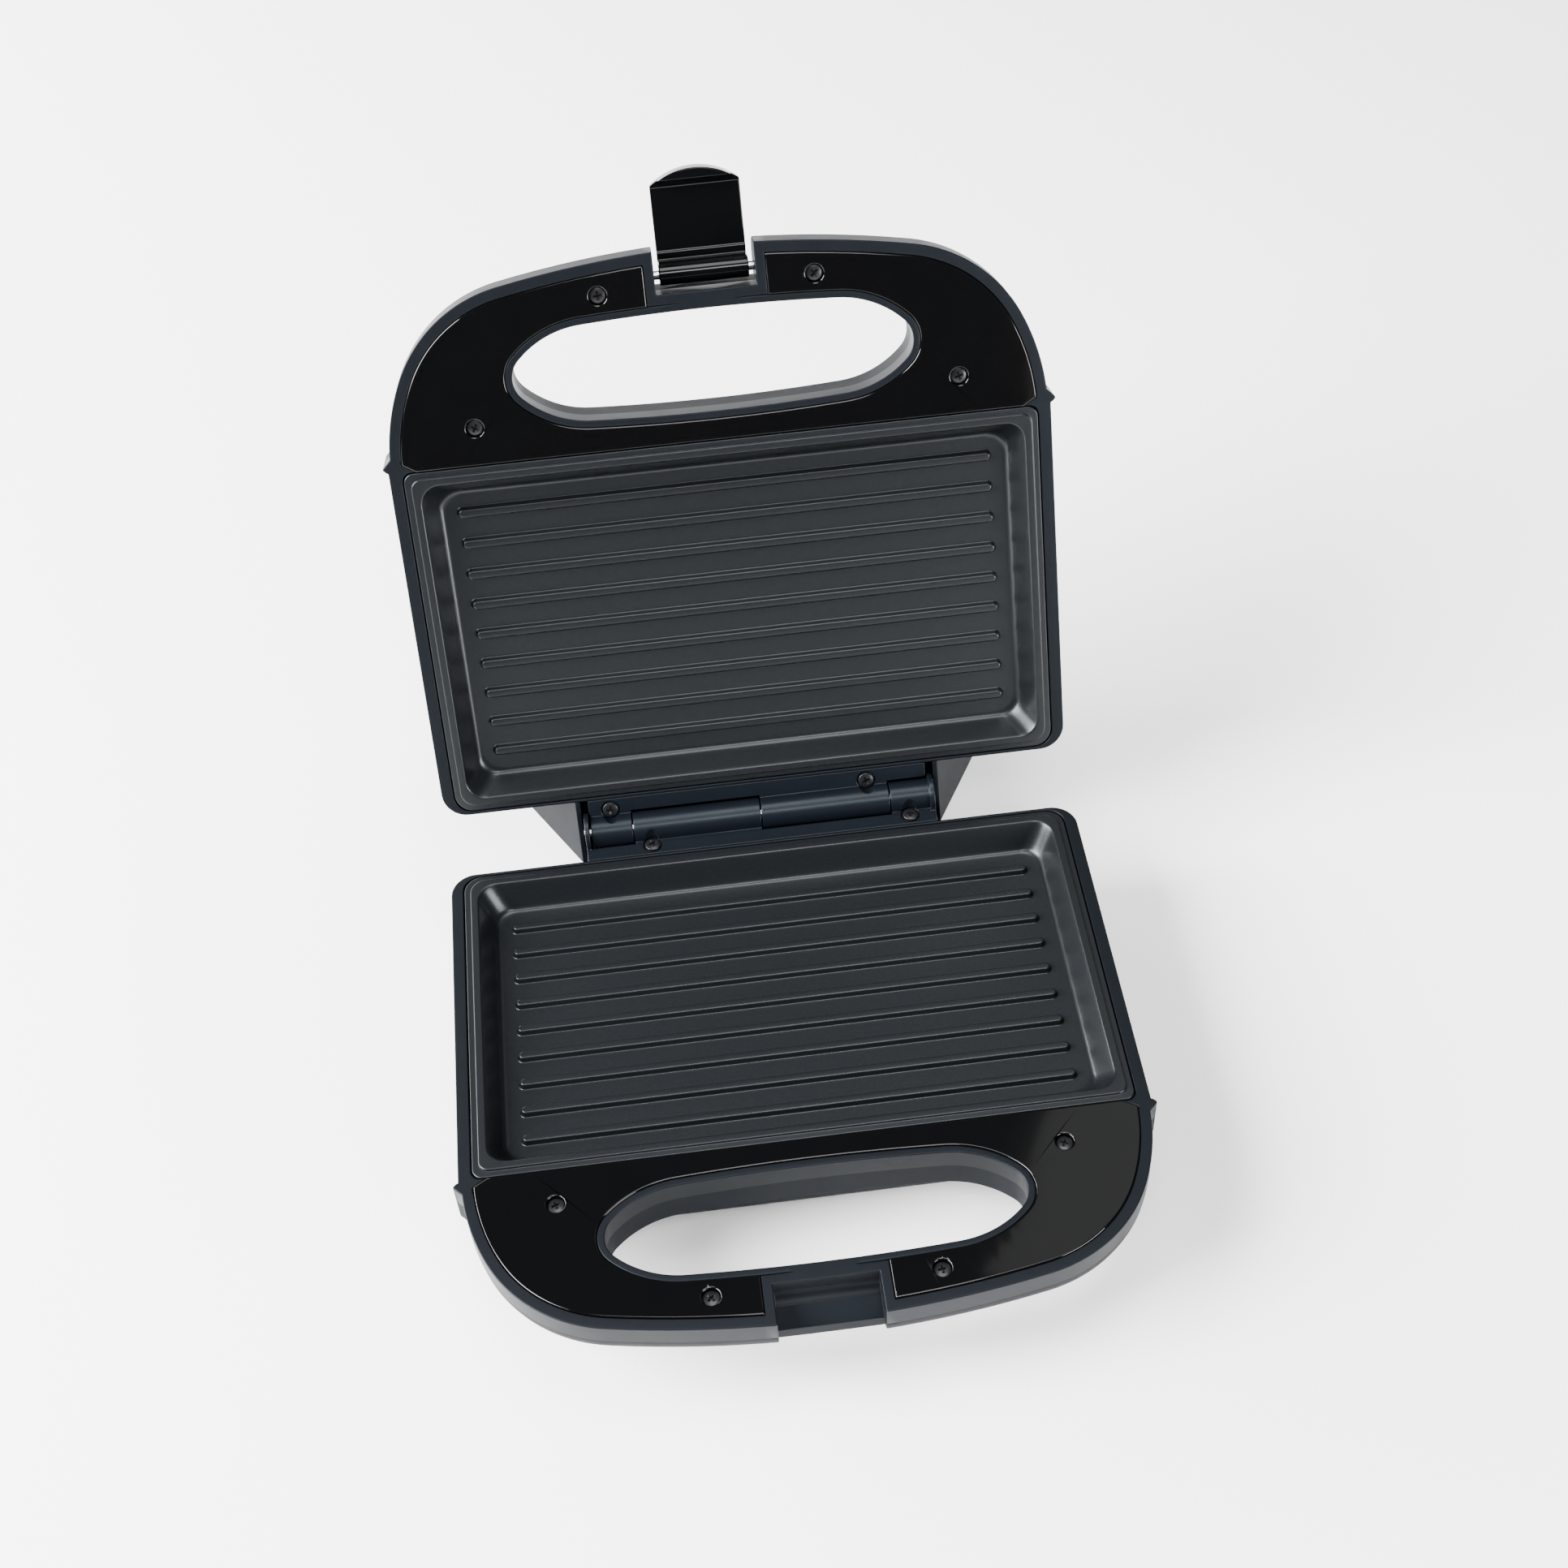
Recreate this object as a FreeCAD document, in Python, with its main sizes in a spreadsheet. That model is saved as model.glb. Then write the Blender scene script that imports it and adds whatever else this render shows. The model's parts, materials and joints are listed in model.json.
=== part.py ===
import FreeCAD, Part
import math
import os
import Sketcher
from FreeCAD import Placement, Rotation, Vector

# Panini press, opened out: a grill plate, a housing and a looped handle in each half, joined by
# barrel hinges behind the plates, and a swinging latch on the lid's handle.
#
# Each half is drawn in a frame of its own: x to the right, y towards the hinge (so the handle lies
# towards -y), z = 0 on the rim plane and the body below it, with the hinge axis over y = 0.
# The lid is the same half turned over; half_place() puts each one where it stands.

SHEET_ROWS = (
    ("open_angle", 113.25), ("axis_back", 50.06), ("axis_rise", 1.0),
    ("plate_half", 110.0), ("plate_back", 14.0), ("plate_front", 142.5), ("plate_proud", 0.85),
    ("plate_corner_back", 6.5), ("plate_corner_front", 3.5), ("rim_step", 2.2), ("rim_width", 2.8),
    ("flange_under", 2.2), ("well_slope", 5.0), ("well_depth", 9.3), ("well_corner", 7.0),
    ("pan_wall", 2.0), ("well_pan_gap", 0.4), ("ridge_first", 33.16), ("ridge_pitch", 11.36),
    ("ridge_count", 9), ("ridge_half", 94.2), ("ridge_width", 3.8), ("ridge_tall", 2.0),
    ("body_half", 114.8), ("body_back", 12.4), ("body_front", 147.0), ("body_deep", 38.0),
    ("side_taper", 6.0), ("end_taper", 3.0), ("body_corner_back", 9.0), ("body_corner_front", 4.0),
    ("body_edge", 5.0), ("wall", 2.5), ("ledge_top", 2.3), ("ledge_under", 5.0),
    ("ledge_inside", 105.9), ("parting_depth", 8.0), ("seat_gap", 0.4),
    ("handle_reach", 209.3), ("handle_root", 137.0), ("handle_shoulder", 14.0),
    ("handle_deep", 18.0), ("handle_round", 9.5),
    ("front_radius", 374.5), ("corner_radius", 50.4), ("side_radius", 77.8),
    ("front_turn", 10.8), ("corner_turn", 64.4), ("side_turn", 86.6),
    ("hole_middle", 170.75), ("hole_tall", 17.75), ("hole_long_radius", 736.0),
    ("hole_turn", 3.4), ("hole_bend_radius", 34.0), ("hole_bend_turn", 45.0),
    ("trim_inset", 4.0), ("trim_hole_grow", 2.6), ("trim_deep", 2.0), ("trim_proud", 0.3),
    ("trim_fit", 0.12), ("trim_gap_half", 20.5), ("trim_gap_start", 190.8),
    ("notch_half", 17.0), ("notch_start", 194.5), ("notch_face", 204.2), ("notch_top", 5.5),
    ("notch_low", 12.0),
    ("ear_tip", 116.5), ("ear_start", 143.3), ("ear_end", 149.5), ("ear_deep", 17.0),
    ("ear_root", 6.0), ("ear_slant", 4.0), ("ear_land", 1.6), ("front_corner_gain", 4.0),
    ("barrel_radius", 6.0), ("pin_radius", 2.2), ("pin_play", 0.08), ("flange_thick", 3.5),
    ("flange_back", 6.8), ("bracket_half", 62.5), ("cheek_radius", 7.5), ("cheek_inside", 62.9),
    ("neck_half", 64.6), ("neck_back", 12.0), ("neck_wall", 6.6), ("neck_top", 11.3),
    ("neck_low", 14.6), ("shelf_thick", 5.0), ("neck_root", 12.0), ("shelf_play", 0.1),
    ("hood_root", 8.0), ("hood_root_gain", 4.0), ("hood_wall_gain", 2.79),
    ("hood_half", 67.0), ("hood_half_deep", 86.0), ("hood_back", 12.5), ("hood_back_deep", 4.5),
    ("hood_wall", 1.8),
    ("screw_head", 2.8), ("screw_head_tall", 1.5), ("screw_shank", 1.45), ("screw_bore", 3.05),
    ("trim_screw_long", 11.0), ("hinge_screw_long", 7.2), ("hinge_screw_back", 8.2),
    ("trim_screw_wide", 83.3), ("trim_screw_near", 155.9),
    ("trim_screw_narrow", 36.5), ("trim_screw_far", 196.3),
    ("base_long_start", -46.7), ("base_long_end", 0.2), ("base_short_start", 48.4),
    ("base_short_end", 63.0), ("base_screw_long", -40.5), ("base_screw_short", 55.0),
    ("lid_long_start", -48.0), ("lid_long_end", -0.6), ("lid_short_start", 47.1),
    ("lid_short_end", 62.3), ("lid_screw_long", -40.3), ("lid_screw_short", 54.5),
    ("hinge_seat", 0.6), ("relief_grow", 0.6), ("boss_radius", 3.8),
    ("small_head", 2.0), ("small_head_tall", 1.2), ("small_shank", 1.0), ("plate_screw_long", 6.0),
    ("foot_radius", 8.0), ("foot_tall", 7.0), ("foot_peg", 3.0), ("foot_edge", 1.2),
    ("latch_back", 199.0), ("latch_low", 10.0), ("latch_half", 15.2), ("latch_roll", 3.6),
    ("latch_pin", 1.5), ("latch_offset", 5.75), ("latch_thick", 2.4), ("latch_reach", 34.0),
    ("latch_lip", 3.6), ("latch_lip_rise", 4.2), ("latch_bow", 5.5),
    ("latch_pin_grip", 4.0), ("thermostat_radius", 8.0), ("fuse_radius", 2.2), ("fuse_long", 14.0),
    ("fuse_side", 24.0), ("terminal_half", 15.0), ("terminal_wide", 14.0), ("terminal_tall", 12.0),
    ("lead_radius", 1.1), ("lead_side", 1.8), ("gland_collar", 1.8), ("gland_inside", 1.5),
    ("hinge_pin_end", 0.4), ("stud_thread", 6.0), ("shield_lip_gap", 0.4), ("ridge_draft", 20.0),
    ("heater_radius", 3.25), ("heater_half", 84.0), ("heater_back", 30.0), ("heater_front", 126.0),
    ("heater_bend", 14.0), ("heater_gap_half", 24.0),
    ("shield_half", 106.0), ("shield_flange", 110.6), ("shield_sheet", 0.8),
    ("shield_deep", 20.2), ("shield_back", 17.6), ("shield_front", 138.9),
    ("stud_radius", 4.0), ("stud_side", 66.0), ("stud_back", 46.0), ("stud_front", 112.0),
    ("gland_radius", 6.5), ("gland_bore", 3.6), ("gland_depth", 27.0), ("gland_lip", 8.5),
    ("foot_side", 88.0), ("foot_front", 128.0), ("foot_rear_side", 50.0), ("foot_rear", 1.0),
    ("lens_side", 9.0), ("lens_front", 128.0), ("lens_radius", 4.0), ("lens_proud", 1.0),
    ("lamp_radius", 2.4), ("lamp_long", 9.0),
)

DOC = FreeCAD.newDocument("PaniniPress")
SHEET = DOC.addObject("Spreadsheet::Sheet", "Sizes")
for row, (alias, number) in enumerate(SHEET_ROWS, start=1):
    SHEET.set(f"A{row}", alias)
    SHEET.set(f"B{row}", str(number))
    SHEET.setAlias(f"B{row}", alias)
DOC.recompute()


class Size:
    """A number together with the sheet formula that gives it."""

    def __init__(self, value, text):
        self.value = float(value)
        self.text = text

    @staticmethod
    def of(other):
        return other if isinstance(other, Size) else Size(other, repr(float(other)))

    def __add__(self, other):
        other = Size.of(other)
        return Size(self.value + other.value, f"({self.text} + {other.text})")

    def __sub__(self, other):
        other = Size.of(other)
        return Size(self.value - other.value, f"({self.text} - {other.text})")

    def __mul__(self, other):
        other = Size.of(other)
        return Size(self.value * other.value, f"({self.text} * {other.text})")

    def __truediv__(self, other):
        other = Size.of(other)
        return Size(self.value / other.value, f"({self.text} / {other.text})")

    def __neg__(self):
        return Size(-self.value, f"(0 - {self.text})")

    __radd__ = __add__

    def __rsub__(self, other):
        return Size.of(other) - self


def cell(alias):
    return Size(SHEET.get(alias), f"Sizes.{alias}")


def sine(angle):
    return Size(math.sin(math.radians(angle.value)), f"sin({angle.text})")


def cosine(angle):
    return Size(math.cos(math.radians(angle.value)), f"cos({angle.text})")


ZERO = Size(0.0, "0")


# ---- general helpers ------------------------------------------------------------------------

def bind(item, **sizes):
    """Bind each named property of item to its sheet formula."""
    for name, size in sizes.items():
        item.setExpression(name, Size.of(size).text)


def put(item, x=ZERO, y=ZERO, z=ZERO, turn=None):
    """Place item at a position bound to the sheet, turned by an optional rotation."""
    item.Placement = Placement(Vector(), turn or Rotation())
    for axis, size in (("x", x), ("y", y), ("z", z)):
        item.setExpression(f".Placement.Base.{axis}", Size.of(size).text)
    return item


def block(name, x, y, z):
    """Box between two bounds on each axis."""
    item = DOC.addObject("Part::Box", name)
    bind(item, Length=x[1] - x[0], Width=y[1] - y[0], Height=z[1] - z[0])
    return put(item, x[0], y[0], z[0])


ALONG_X = Rotation(Vector(0, 1, 0), 90)
BLIND_END = 0.4  # what a blind bore leaves of the ledge
PIN_END_PLAY = 0.5  # room beyond each end of the latch pin


def rod(name, radius, length, x=ZERO, y=ZERO, z=ZERO, turn=None):
    """Cylinder that starts at x, y, z and runs along +z, or along +x with ALONG_X."""
    item = DOC.addObject("Part::Cylinder", name)
    bind(item, Radius=radius, Height=length)
    return put(item, x, y, z, turn)


def fuse(name, pieces):
    item = DOC.addObject("Part::MultiFuse", name)
    item.Shapes = pieces
    item.Refine = True
    return item


def group(name, pieces):
    """Separate solids of one kind, kept together as one sub-part."""
    item = DOC.addObject("Part::Compound", name)
    item.Links = pieces
    return item


def cut(name, base, *tools):
    item = DOC.addObject("Part::Cut", name)
    item.Base = base
    item.Tool = tools[0] if len(tools) == 1 else fuse(f"{name}_tools", list(tools))
    return item


def common(name, base, tool):
    item = DOC.addObject("Part::Common", name)
    item.Base = base
    item.Tool = tool
    return item


def new_body(name):
    return DOC.addObject("PartDesign::Body", name)


def arc_centre(start, end, radius):
    """Centre of the arc from start to end; a positive radius turns left, a negative one right."""
    chord = end - start
    middle = (start + end) * 0.5
    side = Vector(-chord.y, chord.x, 0).normalize()
    away = math.sqrt(max(radius * radius - (chord.Length / 2) ** 2, 0.0))
    return middle + side * (away if radius > 0 else -away)


def sketch(body, name, corners, plane="XY_Plane", level=None, closed=True):
    """Outline on an origin plane of body.

    Each corner is (x, y), or (x, y, radius) where an arc of that radius leads to it.
    """
    item = body.newObject("Sketcher::SketchObject", name)
    item.AttachmentSupport = [(f, "") for f in body.Origin.OriginFeatures if f.Role == plane]
    item.MapMode = "FlatFace"
    if level is not None:
        item.setExpression(".AttachmentOffset.Base.z", Size.of(level).text)
    corners = [tuple(Size.of(part) for part in corner) for corner in corners]
    spots = [Vector(corner[0].value, corner[1].value, 0) for corner in corners]
    edge_ends = []
    for number in range(len(corners) if closed else len(corners) - 1):
        start, end = spots[number], spots[(number + 1) % len(spots)]
        to_corner = corners[(number + 1) % len(corners)]
        if len(to_corner) == 2:
            item.addGeometry(Part.LineSegment(start, end), False)
            edge_ends.append((1, 2))
            continue
        radius = to_corner[2]
        centre = arc_centre(start, end, radius.value)
        first, last = (start, end) if radius.value > 0 else (end, start)
        angles = [math.atan2(spot.y - centre.y, spot.x - centre.x) for spot in (first, last)]
        if angles[1] < angles[0]:
            angles[1] += 2 * math.pi
        circle = Part.Circle(centre, Vector(0, 0, 1), abs(radius.value))
        item.addGeometry(Part.ArcOfCircle(circle, *angles), False)
        edge_ends.append((1, 2) if radius.value > 0 else (2, 1))
        index = item.addConstraint(Sketcher.Constraint("Radius", number, abs(radius.value)))
        size = radius if radius.value > 0 else -radius
        item.setExpression(f"Constraints[{index}]", size.text)
    count = len(edge_ends)
    for number in range(count if closed else count - 1):
        following = (number + 1) % count
        item.addConstraint(Sketcher.Constraint(
            "Coincident", number, edge_ends[number][1], following, edge_ends[following][0]))
    for number, corner in enumerate(corners):
        edge, end = (number, 0) if number < count else (number - 1, 1)
        for kind, size in (("DistanceX", corner[0]), ("DistanceY", corner[1])):
            index = item.addConstraint(Sketcher.Constraint(
                kind, -1, 1, edge, edge_ends[edge][end], size.value))
            item.setExpression(f"Constraints[{index}]", size.text)
    return item


def circle_sketch(body, name, across, up, radius, plane, level):
    item = body.newObject("Sketcher::SketchObject", name)
    item.AttachmentSupport = [(f, "") for f in body.Origin.OriginFeatures if f.Role == plane]
    item.MapMode = "FlatFace"
    item.setExpression(".AttachmentOffset.Base.z", level.text)
    centre = Vector(across.value, up.value, 0)
    item.addGeometry(Part.Circle(centre, Vector(0, 0, 1), radius.value), False)
    for index, (kind, size) in enumerate((("DistanceX", across), ("DistanceY", up))):
        item.addConstraint(Sketcher.Constraint(kind, -1, 1, 0, 3, size.value))
        item.setExpression(f"Constraints[{index}]", size.text)
    item.addConstraint(Sketcher.Constraint("Radius", 0, radius.value))
    item.setExpression("Constraints[2]", radius.text)
    return item


def pad(body, name, profile, length, down=False, both=False):
    item = body.newObject("PartDesign::Pad", name)
    item.Profile = profile
    item.Reversed = down
    item.SideType = "Symmetric" if both else "One side"
    bind(item, Length=length)
    body.Tip = item
    return item


def pocket(body, name, profile, length, up=False, both=False):
    """Pocket against the sketch's normal, or along it with up."""
    item = body.newObject("PartDesign::Pocket", name)
    item.Profile = profile
    item.Reversed = up
    item.SideType = "Symmetric" if both else "One side"
    bind(item, Length=length)
    body.Tip = item
    return item


def loft(body, name, first, second, kind="AdditiveLoft"):
    item = body.newObject(f"PartDesign::{kind}", name)
    item.Profile = first
    item.Sections = [second]
    body.Tip = item
    return item


def round_edges(body, name, base, radius, wanted):
    """Fillet the edges of base that the test wanted() accepts."""
    DOC.recompute()
    names = [f"Edge{n}" for n, edge in enumerate(base.Shape.Edges, start=1) if wanted(edge)]
    item = body.newObject("PartDesign::Fillet", name)
    item.Base = (base, names)
    bind(item, Radius=radius)
    body.Tip = item
    return item


def rounded_rectangle(half, near, far, radius_near, radius_far):
    """Corners of a rounded rectangle from y = -near to y = -far, going round to the left."""
    low, high = -Size.of(far), -Size.of(near)
    return [
        (-half + radius_far, low, radius_far), (half - radius_far, low),
        (half, low + radius_far, radius_far), (half, high - radius_near),
        (half - radius_near, high, radius_near), (-half + radius_near, high),
        (-half, high - radius_near, radius_near), (-half, low + radius_far),
    ]


def revolve(name, profile_points):
    """Solid of revolution about the z axis from (radius, height) corners."""
    body = new_body(name)
    profile = sketch(body, f"{name}_profile", profile_points, plane="XZ_Plane")
    item = body.newObject("PartDesign::Revolution", f"{name}_turn")
    item.Profile = profile
    item.ReferenceAxis = (profile, ["V_Axis"])
    item.Angle = 360
    body.Tip = item
    return body


# ---- outlines -------------------------------------------------------------------------------

def handle_outline(inset):
    """Loop of the handle from its root, round the front: three tangent arcs on each side."""
    turns = [cell("front_turn"), cell("corner_turn"), cell("side_turn")]
    radii = [cell(name) - inset for name in ("front_radius", "corner_radius", "side_radius")]
    across, reach = radii[0] * sine(turns[0]), cell("handle_reach") - inset
    reach = reach - radii[0] * (1 - cosine(turns[0]))
    side = [(across, reach)]
    for number in (1, 2):
        across = across + radii[number] * (sine(turns[number]) - sine(turns[number - 1]))
        reach = reach - radii[number] * (cosine(turns[number - 1]) - cosine(turns[number]))
        side.append((across, reach))
    (near_x, near_y), (corner_x, corner_y), (root_x, root_y) = side
    root, shoulder = -cell("handle_root"), root_x - cell("handle_shoulder")
    return [
        (-shoulder, root), (-root_x, -root_y), (-corner_x, -corner_y, radii[2]),
        (-near_x, -near_y, radii[1]), (near_x, -near_y, radii[0]),
        (corner_x, -corner_y, radii[1]), (root_x, -root_y, radii[2]), (shoulder, root),
    ]


def hole_outline(grow):
    """Opening of the handle: two long shallow arcs that bend through tighter ones to the ends."""
    turn, end_turn, middle = cell("hole_turn"), cell("hole_bend_turn"), cell("hole_middle")
    long_radius, bend = cell("hole_long_radius") + grow, cell("hole_bend_radius") + grow
    long_x = long_radius * sine(turn)
    long_y = cell("hole_tall") + grow - long_radius * (1 - cosine(turn))
    end_x = long_x + bend * (sine(end_turn) - sine(turn))
    end_y = long_y - bend * (cosine(turn) - cosine(end_turn))
    end_radius = end_y / cosine(end_turn)
    return [
        (-long_x, -middle - long_y, bend), (long_x, -middle - long_y, long_radius),
        (end_x, -middle - end_y, bend), (end_x, end_y - middle, end_radius),
        (long_x, long_y - middle, bend), (-long_x, long_y - middle, long_radius),
        (-end_x, end_y - middle, bend), (-end_x, -middle - end_y, end_radius),
    ]


def notch_profile(half, inset):
    """Side view of the latch notch; the base has a sloping floor, the lid is cut through."""
    start, below = cell("notch_start") - inset, -cell("handle_deep") - 2
    beyond = -cell("handle_reach") - 20
    if half == "lid":
        return [(-start, 2), (-start, below), (beyond, below), (beyond, 2)]
    face = cell("notch_face") - inset
    return [
        (-start, 2), (-start, -cell("notch_top") - inset), (-face, -cell("notch_low") - inset),
        (-face, below), (beyond, below), (beyond, 2),
    ]


# ---- housing --------------------------------------------------------------------------------

def tray_section(body, name, level, inset, deep):
    """One end of the tray's loft: at the rim, or drawn in by the taper at the bottom."""
    half, near, far = cell("body_half") - inset, cell("body_back") + inset, cell("body_front") - inset
    back, front = cell("body_corner_back"), cell("body_corner_front")
    if deep:
        half, near, far = half - cell("side_taper"), near + cell("end_taper"), far - cell("end_taper")
        front = front + cell("front_corner_gain")
    return sketch(body, name, rounded_rectangle(half, near, far, back, front), level=level)


def tray_and_handle(name, half, inset, rim_level, handle_level):
    """Solid form of one half, drawn in by inset: handle loop, tray, notch and finger opening."""
    body = new_body(name)
    profile = sketch(body, f"{name}_handle_plan", handle_outline(inset), level=handle_level)
    handle_low = inset - cell("handle_deep")
    handle = pad(body, f"{name}_handle", profile, handle_level - handle_low, down=True)
    root = -cell("handle_root").value

    def lower_rim(edge):
        low = abs(edge.BoundBox.ZMax - handle_low.value) < 0.01
        return low and edge.BoundBox.YMin < root - 0.01

    round_edges(body, f"{name}_handle_round", handle, cell("handle_round") - inset, lower_rim)
    low = inset - cell("body_deep")
    tray = loft(body, f"{name}_tray",
                tray_section(body, f"{name}_rim_plan", rim_level, inset, False),
                tray_section(body, f"{name}_floor_plan", low, inset, True))
    round_edges(body, f"{name}_tray_round", tray, cell("body_edge") - inset,
                lambda edge: abs(edge.BoundBox.ZMax - low.value) < 0.01)
    opening = sketch(body, f"{name}_finger_plan", hole_outline(inset), level=2)
    pocket(body, f"{name}_finger", opening, cell("handle_deep") + 4)
    notch = sketch(body, f"{name}_notch_side", notch_profile(half, inset), plane="YZ_Plane")
    pocket(body, f"{name}_notch", notch, (cell("notch_half") + inset) * 2, both=True)
    return body


def ears(name):
    """Small upright ribs on the side walls, where the tray meets the handle."""
    pieces = []
    for side in (-1, 1):
        body = new_body(f"{name}_{'left' if side < 0 else 'right'}")
        tip, start, end = cell("ear_tip") * side, -cell("ear_start"), -cell("ear_end")
        root = (cell("ear_tip") - cell("ear_root")) * side
        corners = [(root, start), (root, end), ((cell("ear_tip") - cell("ear_slant")) * side, end),
                   (tip, start - cell("ear_land")), (tip, start)]
        profile = sketch(body, f"{name}_plan_{side + 1}", corners if side > 0 else corners[::-1])
        pad(body, f"{name}_rib_{side + 1}", profile, cell("ear_deep"), down=True)
        pieces.append(body)
    return pieces


def neck(name, inset, shelf_level):
    """Foot of the base under the hinge; its sloping top is where the opened lid comes to rest."""
    body = new_body(name)
    low, back = inset - cell("body_deep"), cell("neck_back") - inset
    inner_end = -cell("body_back") - cell("neck_root")
    corners = [
        (inner_end, low), (back, low), (back, -cell("neck_low") - inset),
        (-cell("neck_wall") - inset, -cell("neck_top") - inset),
        (-cell("neck_wall") - inset, shelf_level), (inner_end, shelf_level),
    ]
    profile = sketch(body, f"{name}_side", corners, plane="YZ_Plane")
    pad(body, f"{name}_block", profile, (cell("neck_half") - inset) * 2, both=True)
    return body


def hood(name, inset):
    """Flared cover of the lid behind the hinge; inset gives the hollow inside it."""
    body = new_body(name)
    inner = Size.of(inset).value > 0
    reach = cell("body_back") if inner else cell("body_back") + cell("hood_root")
    reach_deep = reach + cell("hood_wall_gain" if inner else "hood_root_gain")
    low = inset - cell("body_deep")
    sections = []
    for level, half_width, front, back in (
            (ZERO, cell("hood_half"), reach, cell("hood_back")),
            (low, cell("hood_half_deep"), reach_deep, cell("hood_back_deep"))):
        wide, rear = half_width - inset, back - inset
        corners = [(-wide, -front), (wide, -front), (wide, rear), (-wide, rear)]
        sections.append(sketch(body, f"{name}_{len(sections)}", corners, level=level))
    loft(body, f"{name}_flare", *sections)
    return body


def trim_form(name, grow, low, high):
    """Solid of the inset trim panel, or of its recess when grown."""
    body = new_body(name)
    plan = sketch(body, f"{name}_plan", handle_outline(cell("trim_inset") - grow), level=high)
    pad(body, f"{name}_sheet", plan, high - low, down=True)
    hole = sketch(body, f"{name}_hole_plan", hole_outline(cell("trim_hole_grow") - grow),
                  level=high + 1)
    pocket(body, f"{name}_hole", hole, high - low + 2)
    gap, start = cell("trim_gap_half") - grow, cell("trim_gap_start") + grow
    beyond = -cell("handle_reach") - 5
    front = sketch(body, f"{name}_gap_plan", [(-gap, beyond), (gap, beyond), (gap, -start),
                                              (-gap, -start)], level=high + 1)
    pocket(body, f"{name}_gap", front, high - low + 2)
    plate_edge = -cell("plate_front") - cell("seat_gap") + grow
    beside = cell("body_half") + 5
    rear = sketch(body, f"{name}_plate_plan",
                  [(-beside, plate_edge), (beside, plate_edge), (beside, 0), (-beside, 0)],
                  level=high + 1)
    pocket(body, f"{name}_plate_side", rear, high - low + 2)
    return body


def slab(name, half, near, far, corner_near, corner_far, low, high):
    """Rounded rectangular block between two heights."""
    body = new_body(name)
    plan = sketch(body, f"{name}_plan", rounded_rectangle(half, near, far, corner_near, corner_far),
                  level=high)
    pad(body, f"{name}_block", plan, high - low, down=True)
    return body


# ---- screws and their places ----------------------------------------------------------------

def trim_screw_spots(half):
    return [(cell(across) * side, -cell(reach))
            for across, reach in (("trim_screw_wide", "trim_screw_near"),
                                  ("trim_screw_narrow", "trim_screw_far"))
            for side in (-1, 1)]


def hinge_screw_spots(half):
    return [(cell(f"{half}_screw_{barrel}"), -cell("hinge_screw_back"))
            for barrel in ("long", "short")]


def stud_spots(half):
    return [(cell("stud_side") * side, -cell(reach))
            for reach in ("stud_back", "stud_front") for side in (-1, 1)]


def shield_screw_spots(half):
    middle = (cell("ledge_inside") + cell("body_half") - cell("wall")) / 2 - 0.9
    return [(middle * side, -cell(reach))
            for reach in ("stud_back", "stud_front") for side in (-1, 1)]


def screws(name, spots, seat, head, head_tall, shank, shank_long, down=True):
    """One screw at each spot, its head on the seat level and its shank going down (or up)."""
    pieces = []
    for number, (x, y) in enumerate(spots, start=1):
        head_low = seat if down else seat - head_tall
        shank_low = seat - shank_long if down else seat
        pieces.append(fuse(f"{name}_{number}", [
            rod(f"{name}_{number}_head", head, head_tall, x, y, head_low),
            rod(f"{name}_{number}_shank", shank, shank_long, x, y, shank_low)]))
    return group(name, pieces)


def bores(name, spots, radius, low, high):
    return [rod(f"{name}_{number}", radius, high - low, x, y, low)
            for number, (x, y) in enumerate(spots, start=1)]


# ---- sub-parts of one half --------------------------------------------------------------------

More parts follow.
